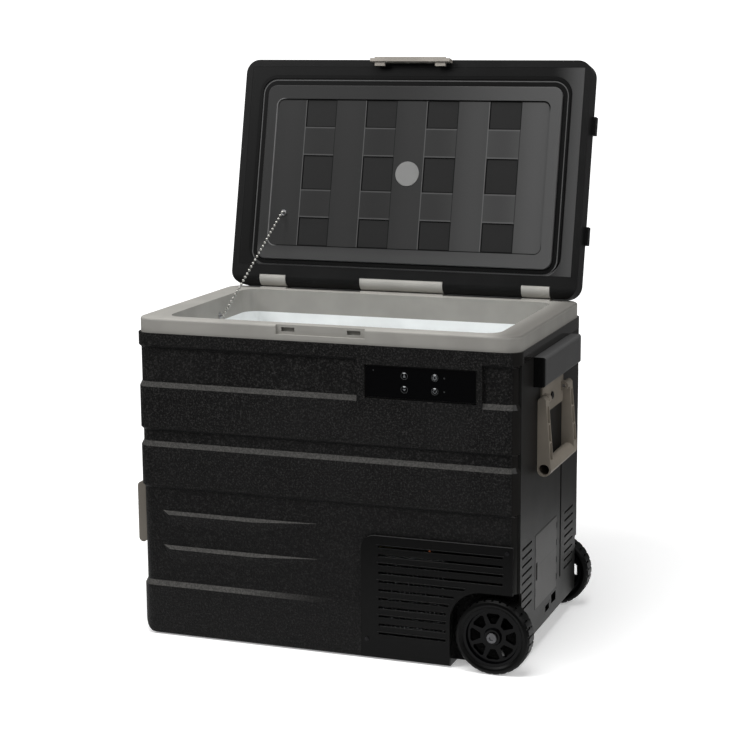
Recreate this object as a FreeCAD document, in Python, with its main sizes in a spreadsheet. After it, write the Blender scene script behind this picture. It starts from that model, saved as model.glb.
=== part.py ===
import FreeCAD, Part

import math
import os
import re

import Sketcher

# Compressor cooler fridge, at rest with its lid open.
# Lengths are written from the cabinet's own corner: x runs right from the left face, y runs back from
# the front face and z runs up from the underside. The origin cells then move every piece, so that the
# origin of the finished part is the middle of its footprint, on the floor.
# Lid pieces are drawn with the lid shut and are then swung open about the hinge pins.

# Driving sizes, in millimetres and degrees.
SIZES = {
    # Cabinet
    "width": (627, "cabinet width"),
    "deep": (376, "cabinet depth"),
    "shell_top": (493, "height of the black shell"),
    "shell_radius": (20, "upright corners of the shell"),
    "shell_wall": (5, "shell wall"),
    "proud": (2, "how far the bands stand out"),
    "sunk": (2, "how far the panels between the bands lie in"),
    "band_slope": (8, "height of the sloping ledge on each band"),
    "brow": (4, "height of the slope under each band"),
    "upper_drop": (24, "upper sunk panel, below the top of the shell"),
    "upper_tall": (54.4, "height of the upper sunk panel"),
    "middle_low": (318.5, "lower edge of the middle sunk panel"),
    "middle_high": (336, "upper edge of the middle sunk panel"),
    "bottom_low": (88.6, "lower edge of the bottom sunk panel"),
    "bottom_high": (242, "upper edge of the bottom sunk panel"),
    "foot_round": (28, "round of the lower left edge"),
    "foot_bevel": (32, "bevel of the lower right edge"),
    "cavity_radius": (14, "inside corners of the shell"),
    "rib_left": (40, "left end of the short front ribs"),
    "rib_right": (303, "right end of the short front ribs"),
    "rib_upper": (207, "top of the upper short rib"),
    "rib_lower": (150, "top of the lower short rib"),
    # Rim and liner
    "rim_height": (24, "height of the grey rim"),
    "rim_radius": (26, "upright corners of the rim"),
    "mouth_left": (43, "rim width at the left"),
    "mouth_right": (38, "rim width at the right"),
    "mouth_front": (24, "rim width at the front"),
    "mouth_back": (35, "rim width at the back"),
    "mouth_radius": (25, "corners of the mouth"),
    "collar_drop": (15, "collar under the rim"),
    "collar_wall": (3, "collar wall"),
    "liner_front": (40, "liner set back from the front"),
    "liner_wall": (2, "liner wall"),
    "liner_flange": (2, "liner flange"),
    "liner_floor": (40, "top of the deep floor"),
    "bay_top": (205, "top of the compressor bay"),
    "step_foam": (15, "foam between the bay and the deep well"),
    "step_rise": (25, "foam and liner over the bay"),
    "evaporator_thick": (1.5, "evaporator plate"),
    "evaporator_low": (240, "lower edge of the evaporator"),
    "evaporator_high": (440, "upper edge of the evaporator"),
    "latch_seat": (4, "depth of the latch seat in the rim"),
    "latch_seat_tall": (15, "height of the latch seat"),
    "catch_spread": (108, "distance between the catch slots"),
    "catch_wide": (22, "catch slot width"),
    # Lid
    "lid_gap": (2, "gap between rim and lid"),
    "lid_thick": (45, "lid thickness"),
    "lid_left": (8, "lid set in at the left"),
    "lid_right": (1, "lid set in at the right"),
    "lid_front": (9, "lid overhang at the front"),
    "lid_back": (9, "lid overhang at the back"),
    "lid_radius": (24, "corners of the lid"),
    "lid_round": (10, "round of the lid's top edge"),
    "lid_wall": (12, "lid cover wall"),
    "lid_roof": (3, "lid cover roof"),
    "open_angle": (103.4, "how far the lid stands open"),
    "hinge_radius": (15.8, "round of the lid about the hinge pins"),
    "panel_plate": (4, "inner panel plate"),
    "panel_raise": (4, "raised field of the inner panel"),
    "panel_left": (54, "raised field set in at the left"),
    "panel_right": (47, "raised field set in at the right"),
    "panel_front": (36, "raised field, front edge"),
    "panel_back": (339, "raised field, back edge"),
    "field_border": (19, "border round the sunk field at the sides"),
    "field_edge": (24, "border round the sunk field at front and back"),
    "field_sink": (1.5, "depth of the sunk field"),
    "square_sink": (1.5, "depth of the squares"),
    "square_wide": (55, "width of a square"),
    "square_pitch": (109.7, "distance between columns of squares"),
    "square_aside": (6.5, "columns of squares, right of the middle"),
    "square_near": (108, "back edge of the front squares"),
    "square_middle": (187, "middle of the middle squares"),
    "square_deep": (59, "depth of a middle square"),
    "square_far": (265.3, "front edge of the back squares"),
    "field_radius": (16, "corners of the raised field"),
    "gasket_left": (37, "gasket set in at the left"),
    "gasket_right": (32, "gasket set in at the right"),
    "gasket_front": (18, "gasket set in at the front"),
    "gasket_back": (347.5, "gasket, back edge"),
    "gasket_side_gap": (0.5, "gap between gasket and raised field"),
    "gasket_groove": (2, "gasket groove"),
    "gasket_gap": (0.3, "gap between gasket and rim when shut"),
    "plug_aside": (5.5, "filler plug, right of the middle"),
    "plug_y": (186, "filler plug, from the front"),
    "plug_radius": (21, "filler plug radius"),
    "latch_aside": (0.5, "latch, left of the middle"),
    "latch_wide": (142, "latch width"),
    "latch_thick": (5.5, "latch thickness"),
    "latch_hang": (1, "latch ends above the lower edge of its seat"),
    "latch_pivot_rise": (24, "latch pin above the lid's underside"),
    "latch_pin_radius": (1.5, "latch pin radius"),
    "bump_reach": (6, "side bumps"),
    "bump_long": (30, "length of a side bump"),
    # Hinges
    "hinge_rise": (17.8, "hinge pins above the rim"),
    "hinge_set": (6.9, "hinge pins in from the back face"),
    "block_radius": (15.5, "hinge block round"),
    "hinge_aside": (6.5, "hinges, right of the middle"),
    "hinge_spread": (235, "distance to the outer hinges"),
    "side_block": (48, "width of an outer hinge block"),
    "centre_block": (148, "width of the centre hinge block"),
    "hinge_pin_radius": (3, "hinge pin radius"),
    "pin_reach": (14, "how far a hinge pin reaches into the lid"),
    "pin_clearance": (0.05, "running clearance of the pins"),
    "clearance": (0.5, "gap between moving pieces"),
    # Chain
    "chain_bead": (4.5, "bead diameter"),
    "chain_pitch": (7.5, "distance between beads"),
    "chain_link": (1.3, "link diameter"),
    "chain_lid_x": (98.7, "chain anchor on the lid, from the left"),
    "chain_lid_y": (258.3, "chain anchor on the lid, from the front"),
    "chain_rim_y": (225, "chain anchor on the rim, from the front"),
    "chain_rim_drop": (30, "chain anchor on the rim, below its top"),
    "anchor_radius": (5, "chain anchor radius"),
    "anchor_long": (4, "chain anchor length"),
    # Right side
    "side_proud": (1, "the side panel stands out from the shell"),
    "side_thick": (4, "side panel"),
    "side_margin": (14, "side panel set in at front and back"),
    "side_low": (32.5, "lower edge of the side panel"),
    "side_drop": (19, "side panel, below the top of the shell"),
    "vent_front": (25, "front vents, front end"),
    "vent_back": (281, "rear vents, front end"),
    "vent_long": (55, "length of a vent slot"),
    "vent_high": (3.6, "height of a vent slot"),
    "vent_pitch": (13.4, "distance between vent slots"),
    "vent_top_front": (187, "top slot of the front vents"),
    "vent_top_back": (180, "top slot of the rear vents"),
    "door_front": (99, "battery door, front edge"),
    "door_back": (229, "battery door, hinge edge"),
    "door_low": (71, "battery door, lower edge"),
    "door_high": (190, "battery door, upper edge"),
    "door_thick": (3, "battery door"),
    "door_hinge_in": (1, "battery door hinge, in from the side face"),
    "door_hinge_back": (2, "battery door hinge, behind the door"),
    "knuckle_radius": (1.8, "battery door knuckles"),
    "knuckle_first": (12, "first knuckle, above the door's lower edge"),
    "knuckle_pitch": (28.5, "distance between knuckles"),
    "knuckle_long": (9, "length of a knuckle"),
    "door_pin_radius": (0.8, "battery door pins"),
    "door_pin_reach": (3, "how far a door pin reaches into the panel"),
    "wheel_side_gap": (1.5, "gap between wheel and side panel"),
    "groove_front": (250, "side groove, front edge"),
    "groove_wide": (8, "side groove width"),
    "groove_low": (80, "side groove, lower end"),
    "groove_drop": (68, "side groove, upper end below the handle pivot"),
    "groove_sink": (1.5, "side groove depth"),
    "tray_deep": (55, "battery bay depth"),
    "inlet_deep": (27, "power inlet depth"),
    "contact_radius": (1.2, "power inlet contacts"),
    "dc_front": (160, "low voltage inlet, front end"),
    "dc_back": (190, "low voltage inlet, back end"),
    "dc_low": (44, "low voltage inlet, lower edge"),
    "dc_high": (60, "low voltage inlet, upper edge"),
    "ac_front": (197, "mains inlet, front end"),
    "ac_back": (231, "mains inlet, back end"),
    "ac_low": (47, "mains inlet, lower edge"),
    "ac_high": (68, "mains inlet, upper edge"),
    "housing_front": (80, "handle housing, front end"),
    "housing_back": (304, "handle housing, back end"),
    "housing_drop": (65, "handle housing, lower edge below the top of the shell"),
    "housing_reach": (19, "handle housing thickness"),
    "handle_front": (103, "carry handle, front end"),
    "handle_back": (269, "carry handle, back end"),
    "handle_pivot_drop": (92, "carry handle pivot, below the top of the shell"),
    "handle_pivot_out": (7.2, "carry handle pivot, out from the side"),
    "handle_drop": (106, "pivot to grip"),
    "arm_wide": (18.5, "carry handle arm"),
    "grip_radius": (11, "grip tube outside"),
    "grip_bore": (8.25, "grip tube inside"),
    "boss_radius": (7, "pivot bosses"),
    "boss_long": (14, "length of a pivot boss"),
    "bracket_below": (26, "handle bracket below the pivot"),
    "bracket_above": (18, "handle bracket above the pivot"),
    "bracket_thick": (3, "handle bracket plate"),
    "rung_first": (9, "first recess in the handle arm, below the pivot"),
    "rung_pitch": (28.5, "distance between recesses in the handle arm"),
    "rung_high": (26.5, "height of a recess in the handle arm"),
    "rung_wide": (13.5, "width of a recess in the handle arm"),
    "pin_radius": (3, "handle pins"),
    # Left side
    "tow_reach": (17, "tow handle stands out"),
    "tow_front": (25, "tow handle, front end"),
    "tow_arm": (14, "tow handle arm"),
    "tow_radius": (7.2, "tow handle half width"),
    "tow_pivot": (236, "tow handle pivot height"),
    "tow_drop": (86, "tow pivot to grip"),
    "tow_ear": (12, "tow bracket thickness"),
    # Front
    "grille_in": (6, "grille panel, in from the right face"),
    "grille_wide": (243, "grille panel width"),
    "grille_top": (197, "grille panel, top edge"),
    "grille_thick": (4, "grille panel"),
    "grille_radius": (22, "grille panel, upper left corner"),
    "slot_in_left": (28.6, "grille slots, in from the panel's left edge"),
    "slot_in_right": (16, "grille slots, in from the panel's right edge"),
    "slot_drop": (17, "top grille slot, below the panel's top edge"),
    "slot_pitch": (13.9, "distance between grille slots"),
    "slot_high": (4.2, "height of a grille slot"),
    "slot_arch_gap": (7, "wall between grille slots and wheel arch"),
    "slot_lip": (1.2, "lips over the grille slots"),
    "screw_radius": (3.2, "grille screw heads"),
    "bezel_in": (55, "display frame, in from the right face"),
    "bezel_wide": (199, "display frame width"),
    "bezel_drop": (13, "display frame, below the top of the shell"),
    "bezel_tall": (78, "display frame height"),
    "bezel_step": (6, "display frame, step at the top"),
    "window_in_left": (15, "display window, in from the frame at the left"),
    "window_in_right": (11, "display window, in from the frame at the right"),
    "window_above": (12.5, "display window, above the frame's lower edge"),
    "window_below": (18.5, "display window, below the frame's upper edge"),
    "window_thick": (2, "display window"),
    "display_deep": (22, "display housing"),
    "button_radius": (6, "button radius"),
    "button_first": (61.6, "left buttons, in from the window's left edge"),
    "button_across": (48.2, "distance between the columns of buttons"),
    "button_below": (12.2, "upper buttons, below the window's upper edge"),
    "button_apart": (20.7, "distance between the rows of buttons"),
    "button_proud": (0.8, "buttons stand out from the window"),
    "button_gap": (0.3, "gap round a button"),
    "button_travel": (0.8, "how far a button is pressed"),
    "board_front": (10.2, "control board behind the window"),
    "board_thick": (1.6, "control board thickness"),
    # Wheels
    "wheel_in": (35.5, "axle, in from the right face"),
    "wheel_z": (57, "axle height"),
    "wheel_radius": (58.5, "wheel radius"),
    "wheel_wide": (35, "tyre width"),
    "wheel_out": (14, "wheels stand out"),
    "rim_of_wheel": (46, "hub radius"),
    "axle_radius": (5, "axle radius"),
    "hub_boss": (12, "hub boss radius"),
    "hub_web": (4, "half the thickness of the hub's web"),
    "hub_band": (40, "inside of the hub's outer band"),
    "opening_low": (20, "hub openings, inner end"),
    "opening_high": (36, "hub openings, outer end"),
    "tread_sink": (1.6, "depth of the tread grooves"),
    "arch_before": (69.5, "wheel arch, left of the axle"),
    "arch_top": (122, "wheel arch, top"),
    "arch_radius": (50, "wheel arch corner"),
    "arch_deep": (36, "wheel arch depth"),
    "foot_x": (62, "feet, from the left"),
    "foot_y": (50, "feet, from the front and back"),
    "foot_radius": (13, "foot radius"),
    # Cooling unit
    "tray_thick": (1.5, "base tray"),
    "compressor_in": (140, "compressor, in from the right face"),
    "compressor_y": (205, "compressor, from the front"),
    "compressor_radius": (60, "compressor radius"),
    "compressor_high": (124, "compressor height"),
    "mount_high": (9.5, "rubber mounts"),
    "mount_spread": (96, "distance between rubber mounts"),
    "mount_radius": (9, "rubber mount radius"),
    "plate_thick": (2.5, "compressor foot plate"),
    "bolt_radius": (8, "axle bolt heads"),
    "bush_radius": (10, "axle bushes"),
    "condenser_in": (17, "condenser, from the side of the bay"),
    "condenser_wide": (112, "condenser width"),
    "condenser_front": (12, "condenser, front"),
    "condenser_deep": (26, "condenser depth"),
    "condenser_high": (160, "condenser height"),
    "fan_deep": (25, "fan depth"),
    "fan_bore": (53, "fan opening radius"),
    "fan_radius": (50, "fan blade radius"),
    "fan_hub": (17, "fan hub radius"),
    "fan_shaft": (2, "fan shaft radius"),
    "blade_wide": (26, "fan blade width"),
    "blade_thick": (2, "fan blade thickness"),
    "pipe_level": (185, "level of the pipe to the condenser"),
    "pipe_radius": (3, "refrigerant pipe"),
    "electronics_deep": (70, "electronics box depth"),
    "electronics_wide": (110, "electronics box width"),
    "electronics_high": (70, "electronics box height"),
    "pipe_into_foam": (12, "pipe end inside the foam"),
}

# Places worked out from the driving sizes.
DERIVED = {
    "side_face": "width + side_proud",
    "wheel_x": "width - wheel_in",
    "arch_left": "wheel_x - arch_before",
    "grille_right": "width - grille_in",
    "grille_left": "grille_right - grille_wide",
    "slot_left": "grille_left + slot_in_left",
    "slot_right": "grille_right - slot_in_right",
    "slot_top": "grille_top - slot_drop",
    "bay_left": "grille_left",
    "condenser_left": "bay_left + condenser_in",
    "compressor_x": "width - compressor_in",
    "upper_high": "shell_top - upper_drop",
    "upper_low": "upper_high - upper_tall",
    "bezel_right": "width - bezel_in",
    "bezel_left": "bezel_right - bezel_wide",
    "bezel_high": "shell_top - bezel_drop",
    "bezel_low": "bezel_high - bezel_tall",
    "window_left": "bezel_left + window_in_left",
    "window_right": "bezel_right - window_in_right",
    "window_low": "bezel_low + window_above",
    "window_high": "bezel_high - window_below",
    "button_left": "window_left + button_first",
    "button_right": "button_left + button_across",
    "button_upper": "window_high - button_below",
    "button_lower": "button_upper - button_apart",
    "side_high": "shell_top - side_drop",
    "housing_low": "shell_top - housing_drop",
    "handle_pivot": "shell_top - handle_pivot_drop",
    "bracket_low": "handle_pivot - bracket_below",
    "bracket_high": "handle_pivot + bracket_above",
    "groove_high": "handle_pivot - groove_drop",
    "hinge_middle": "width / 2 + hinge_aside",
    "latch_middle": "width / 2 - latch_aside",
    "plug_x": "width / 2 + plug_aside",
    "square_first": "width / 2 + square_aside - 1.5 * square_pitch",
    "rim_top": "shell_top + rim_height",
    "flange_z": "rim_top + lid_gap",
    "latch_seat_low": "rim_top - latch_seat_tall",
    "latch_low": "latch_seat_low + latch_hang",
    "latch_pivot": "flange_z + latch_pivot_rise",
    "chain_rim_z": "rim_top - chain_rim_drop",
    "hinge_y": "deep - hinge_set",
    "hinge_z": "rim_top + hinge_rise",
    "bay_wall": "side_face - side_thick - 0.3 - shell_wall",
    "collar_low": "shell_top - collar_drop",
    "tray_top": "shell_wall + tray_thick",
    "handle_x": "side_face + handle_pivot_out",
    "grip_x": "side_face + clearance + grip_radius",
    "tow_x": "tow_radius - tow_reach",
    "panel_z": "flange_z - panel_raise",
    "field_z": "panel_z + field_sink",
    "origin_x": "(grip_x + grip_radius - tow_reach) / 2",
    "lid_back_y": "hinge_y + lid_round - (hinge_y + lid_front - lid_round) * cos(open_angle)"
                  " + (flange_z + lid_thick - lid_round - hinge_z) * sin(open_angle)",
    "origin_y": "(lid_back_y - wheel_out) / 2",
    "origin_z": "wheel_z - wheel_radius",
}

PIPE_IN = ("compressor_x + 22", "compressor_y + 20")
WORDS = set(SIZES) | set(DERIVED)

doc = FreeCAD.newDocument("cooler_fridge")
dims = doc.addObject("Spreadsheet::Sheet", "dims")
NODES = {}


def fill_sheet():
    """The driving sizes are numbers in the sheet, and the places are its formulas."""
    row = 1
    for word, (value, note) in SIZES.items():
        dims.set(f"A{row}", note)
        dims.set(f"B{row}", str(value))
        dims.setAlias(f"B{row}", word)
        row += 1
    for word, formula in DERIVED.items():
        dims.set(f"B{row}", "=" + formula)
        dims.setAlias(f"B{row}", word)
        row += 1
    doc.recompute()


def in_sheet(text):
    """An expression whose words are the sheet's own, ready to bind to a property."""
    def named(match):
        word = match.group()
        return "dims." + word if word in WORDS else word
    return re.sub(r"[a-z][a-z_]*", named, str(text))


def bind(thing, prop, text):
    thing.setExpression(prop, in_sheet(text))


def number(text):
    """The present value of an expression in the sheet's words."""
    value = dims.evalExpression(str(text))
    return float(getattr(value, "Value", value))


def keep(label, thing):
    """Names a finished sub-part, which becomes one file."""
    thing.Label = label
    NODES[label] = thing
    return thing


def block(name, x, y, z):
    """A box between two planes on each axis; every plane is an expression."""
    box = doc.addObject("Part::Box", name)
    for prop, letter, (low, high) in (("Length", "x", x), ("Width", "y", y), ("Height", "z", z)):
        bind(box, prop, f"({high}) - ({low})")
        bind(box, "Placement.Base." + letter, f"({low}) - origin_{letter}")
    return box


TURNS = {
    "x": FreeCAD.Rotation(FreeCAD.Vector(0, 1, 0), 90),
    "y": FreeCAD.Rotation(FreeCAD.Vector(1, 0, 0), -90),
    "z": FreeCAD.Rotation(),
}


def rod(name, axis, centre, span, radius):
    """A cylinder along an axis; centre holds its place on the other two axes, in their order."""
    cylinder = doc.addObject("Part::Cylinder", name)
    cylinder.Placement = FreeCAD.Placement(FreeCAD.Vector(), TURNS[axis])
    bind(cylinder, "Radius", radius)
    bind(cylinder, "Height", f"({span[1]}) - ({span[0]})")
    places = dict(zip("xyz".replace(axis, ""), centre))
    places[axis] = span[0]
    for letter, place in places.items():
        bind(cylinder, "Placement.Base." + letter, f"({place}) - origin_{letter}")
    return cylinder


def fused(name, *parts):
    joined = doc.addObject("Part::MultiFuse", name)
    joined.Shapes = list(parts)
    return joined


def grouped(name, *parts):
    """Pieces that share a node and stay separate solids."""
    group = doc.addObject("Part::Compound", name)
    group.Links = list(parts)
    return group


def cut(name, base, *tools):
    result = doc.addObject("Part::Cut", name)
    result.Base = base
    result.Tool = tools[0] if len(tools) == 1 else fused(name + "_tools", *tools)
    return result


def shared(name, first, second):
    result = doc.addObject("Part::Common", name)
    result.Base = first
    result.Tool = second
    return result


def rounded_edges(name, base, radius, wanted):
    """Rounds the edges of a piece that a test picks out."""
    doc.recompute()
    size = number(radius)
    fillet = doc.addObject("Part::Fillet", name)
    fillet.Base = base
    fillet.Edges = [(place, size, size) for place, edge in enumerate(base.Shape.Edges, 1) if wanted(edge)]
    return fillet


def runs_along(letter):
    """Picks straight edges along an axis."""
    def wanted(edge):
        if len(edge.Vertexes) != 2:
            return False
        step = edge.Vertexes[1].Point - edge.Vertexes[0].Point
        return abs(getattr(step, letter)) > 0.999 * edge.Length
    return wanted


def rounded_block(name, x, y, z, radius, axis="z"):
    return rounded_edges(name, block(name + "_block", x, y, z), radius, runs_along(axis))


def lies_at(letter, place):
    """Picks edges that lie wholly in a plane across an axis."""
    level = number(f"({place}) - origin_{letter}")
    upper = letter.upper()

    def wanted(edge):
        box = edge.BoundBox
        return abs(getattr(box, upper + "Min") - level) < 0.01 and abs(getattr(box,
                                                                               upper + "Max") - level) < 0.01
    return wanted


def new_body(name):
    body = doc.addObject("PartDesign::Body", name)
    for letter in "xyz":
        bind(body, "Placement.Base." + letter, "-origin_" + letter)
    return body


def new_sketch(body, name, plane, middle=(0, 0), level="0"):
    """A sketch on one of the body's own planes, its origin at a place in that plane."""
    sketch = body.newObject("Sketcher::SketchObject", name)
    own_plane = [each for each in body.Origin.OriginFeatures if each.Role == plane + "_Plane"][0]
    sketch.AttachmentSupport = (own_plane, [""])
    sketch.MapMode = "FlatFace"
    bind(sketch, "AttachmentOffset.Base.x", middle[0])
    bind(sketch, "AttachmentOffset.Base.y", middle[1])
    bind(sketch, "AttachmentOffset.Base.z", f"-({level})" if plane == "XZ" else level)
    return sketch


def draw_polygon(sketch, corners):
    """A closed outline of straight sides, each corner held by two bound distances."""
    first = sketch.GeometryCount
    held = sketch.ConstraintCount
    count = len(corners)
    points = [FreeCAD.Vector(number(across), number(up), 0) for across, up in corners]
    sides = [Part.LineSegment(points[i], points[(i + 1) % count]) for i in range(count)]
    sketch.addGeometry(sides, False)
    rules = []
    for i in range(count):
        rules.append(Sketcher.Constraint("Coincident", first + i, 2, first + (i + 1) % count, 1))
    for i, point in enumerate(points):
        rules.append(Sketcher.Constraint("DistanceX", -1, 1, first + i, 1, point.x))
        rules.append(Sketcher.Constraint("DistanceY", -1, 1, first + i, 1, point.y))
    sketch.addConstraint(rules)
    for i, (across, up) in enumerate(corners):
        bind(sketch, f"Constraints[{held + count + 2 * i}]", across)
        bind(sketch, f"Constraints[{held + count + 2 * i + 1}]", up)


def draw_rectangle(sketch, across, up):
    corners = [(across[0], up[0]), (across[1], up[0]), (across[1], up[1]), (across[0], up[1])]
    draw_polygon(sketch, corners)


def draw_circle(sketch, centre, radius):
    geometry = sketch.GeometryCount
    held = sketch.ConstraintCount
    middle = FreeCAD.Vector(number(centre[0]), number(centre[1]), 0)
    sketch.addGeometry(Part.Circle(middle, FreeCAD.Vector(0, 0, 1), number(radius)), False)
    sketch.addConstraint([
        Sketcher.Constraint("DistanceX", -1, 1, geometry, 3, middle.x),
        Sketcher.Constraint("DistanceY", -1, 1, geometry, 3, middle.y),
        Sketcher.Constraint("Radius", geometry, number(radius)),
    ])
    for place, value in enumerate((centre[0], centre[1], radius)):
        bind(sketch, f"Constraints[{held + place}]", value)


def extruded(body, kind, name, sketch, length):
    """A Pad or a Pocket of a sketch; its solid must grow or shrink."""
    feature = body.newObject("PartDesign::" + kind, name)
    feature.Profile = sketch
    bind(feature, "Length", length)
    sketch.Visibility = False
    return feature


def pad(body, name, sketch, length):
    return extruded(body, "Pad", name, sketch, length)


def pocket(body, name, sketch, length):
    return extruded(body, "Pocket", name, sketch, length)


def turned(body, kind, name, axis, middle, corners):
    """A Revolution or Groove about an axis; corners are (along, out) pairs, and middle is its place."""
    plane, across, up, level, reference = {
        "x": ("XZ", "0", middle[1], middle[0], "H_Axis"),
        "y": ("YZ", "0", middle[1], middle[0], "H_Axis"),
        "z": ("XZ", middle[0], "0", middle[1], "V_Axis"),
    }[axis]
    sketch = new_sketch(body, name + "_profile", plane, (across, up), level)
    draw_polygon(sketch, [(out, along) for along, out in corners] if axis == "z" else corners)
    feature = body.newObject("PartDesign::" + kind, name)
    feature.Profile = sketch
    feature.ReferenceAxis = (sketch, [reference])
    feature.Angle = 360
    return feature, (sketch, [reference])


def ringed(body, name, features, axis, count):
    """Repeats features evenly round an axis."""
    ring = body.newObject("PartDesign::PolarPattern", name)
    ring.Originals = features
    ring.Axis = axis
    ring.Angle = 360
    ring.Occurrences = count
    body.Tip = ring
    return ring


def rowed(body, name, features, axis, length, count, backwards=False):
    """Repeats features in an even row."""
    row = body.newObject("PartDesign::LinearPattern", name)
    row.Originals = features
    row.Direction = axis
    row.Reversed = backwards
    bind(row, "Length", length)
    row.Occurrences = count
    body.Tip = row
    return row


def profile_bar(name, plane, corners, span):
    """A bar of one outline along the axis across its plane, as a body with a single pad."""
    body = new_body(name)
    sketch = new_sketch(body, name + "_outline", plane, level=span[1] if plane == "XZ" else span[0])
    draw_polygon(sketch, corners)
    pad(body, name + "_bar", sketch, f"({span[1]}) - ({span[0]})")
    return body


def ring_wire(x_span, y_span, height, radius):
    """A level outline with rounded corners."""
    x_low, x_high = x_span
    y_low, y_high = y_span
    lean = radius * (1 - math.sqrt(0.5))

    def at(x, y):
        return FreeCAD.Vector(x, y, height)
    edges = [
        Part.LineSegment(at(x_low + radius, y_low), at(x_high - radius, y_low)),
        Part.Arc(at(x_high - radius, y_low), at(x_high - lean, y_low + lean), at(x_high, y_low + radius)),
        Part.LineSegment(at(x_high, y_low + radius), at(x_high, y_high - radius)),
        Part.Arc(at(x_high, y_high - radius), at(x_high - lean, y_high - lean), at(x_high - radius, y_high)),
        Part.LineSegment(at(x_high - radius, y_high), at(x_low + radius, y_high)),
        Part.Arc(at(x_low + radius, y_high), at(x_low + lean, y_high - lean), at(x_low, y_high - radius)),
        Part.LineSegment(at(x_low, y_high - radius), at(x_low, y_low + radius)),
        Part.Arc(at(x_low, y_low + radius), at(x_low + lean, y_low + lean), at(x_low + radius, y_low)),
    ]
    return Part.Wire([edge.toShape() for edge in edges])


def own_shape(name, shape):
    """A piece shaped in code, written from the cabinet's corner and moved to the origin."""
    feature = doc.addObject("Part::Feature", name)
    feature.Shape = shape
    feature.Placement = FreeCAD.Placement(
        FreeCAD.Vector(-number("origin_x"), -number("origin_y"), -number("origin_z")), FreeCAD.Rotation()
    )
    return feature


def foot_corner():
    """The waste outside the round of the cabinet's lower left edge."""
    corner = block("foot_corner_block", ("-10", "foot_round"), ("-10", "deep + 10"), ("-5", "foot_round"))
    keeper = rod("foot_corner_rod", "y", ("foot_round", "foot_round"), ("-11", "deep + 11"), "foot_round")
    return cut("foot_corner", corner, keeper)


def foot_wedge():
    """The waste under the bevel of the cabinet's lower right edge."""
    corners = [
        ("width - foot_bevel", "0"),
        ("width - foot_bevel", "-10"),
        ("width + 20", "-10"),
        ("width + 20", "foot_bevel + 20"),
    ]
    return profile_bar("foot_wedge", "XZ", corners, ("-10", "deep + 10"))


def cavity(name, x_high, z_high):
    """The room inside the shell, up to a level, following its rounded and bevelled lower edges."""
    bevel = "width - foot_bevel - 1.42 * shell_wall"
    corners = [
        ("shell_wall", "foot_round"),
        ("foot_round - 0.7 * (foot_round - shell_wall)", "foot_round - 0.7 * (foot_round - shell_wall)"),
        ("foot_round", "shell_wall"),
        (bevel + " + shell_wall", "shell_wall"),
        ("bay_wall", f"bay_wall - ({bevel})"),
        ("bay_wall", z_high),
        ("shell_wall", z_high),
    ]
    side = profile_bar(name + "_side", "XZ", corners, ("0", "deep"))
    plan = rounded_block(
        name + "_plan", ("shell_wall", x_high), ("shell_wall", "deep - shell_wall"), ("0",
                                                                                      z_high), "cavity_radius"
    )
    return shared(name, side, plan)


def arch(name, span, grow="0"):
    """The waste of a wheel arch, its upper left corner rounded."""
    middle_x = f"arch_left - ({grow}) + arch_radius"
    middle_z = f"arch_top + ({grow}) - arch_radius"
    right = "width + 30"
    return fused(
        name,
        block(name + "_top", (middle_x, right), span, ("-20", f"arch_top + ({grow})")),
        block(name + "_low", (f"arch_left - ({grow})", right), span, ("-20", middle_z)),
        rod(name + "_corner", "y", (middle_x, middle_z), span, "arch_radius"),
    )


def short_rib(name, top):
    """A low ledge on the bottom sunk panel, tapering away to the right."""
    sunk, proud = number("sunk"), number("proud")
    high = number(top)
    fall = number("band_slope")

    def section(x, share):
        points = [
            FreeCAD.Vector(x, sunk + 1, high),
            FreeCAD.Vector(x, sunk - share * (sunk + proud), high - fall * share),
            FreeCAD.Vector(x, sunk + 1, high - 4 * fall * share),
        ]
        return Part.makePolygon(points + points[:1])
    left, right = number("rib_left"), number("rib_right")
    run = right - left
    stations = [(left, 0.2), (left + 0.04 * run, 0.9), (left + 0.6 * run, 0.9), (right, 0.15)]
    return own_shape(name, Part.makeLoft([section(x, share) for x, share in stations], True, True))


def shell_outside():
    """Bands and sunk panels, one level outline after another from the floor up."""
    slope, brow = number("band_slope"), number("brow")
    proud, sunk = -number("proud"), number("sunk")
    levels = [(0, sunk), (slope / 3, proud)]
    for panel in ("bottom", "middle", "upper"):
        low, high = number(panel + "_low"), number(panel + "_high")
        levels += [(low - slope, proud), (low, sunk), (high, sunk), (high + brow, proud)]
    levels += [(number("shell_top"), proud)]
    wide, deep, radius = number("width"), number("deep"), number("shell_radius")
    rings = [
        ring_wire((inset, wide - inset), (inset, deep - inset), height, radius - inset)
        for height, inset in levels
    ]
    return own_shape("shell_outside", Part.makeLoft(rings, True, True))


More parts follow.
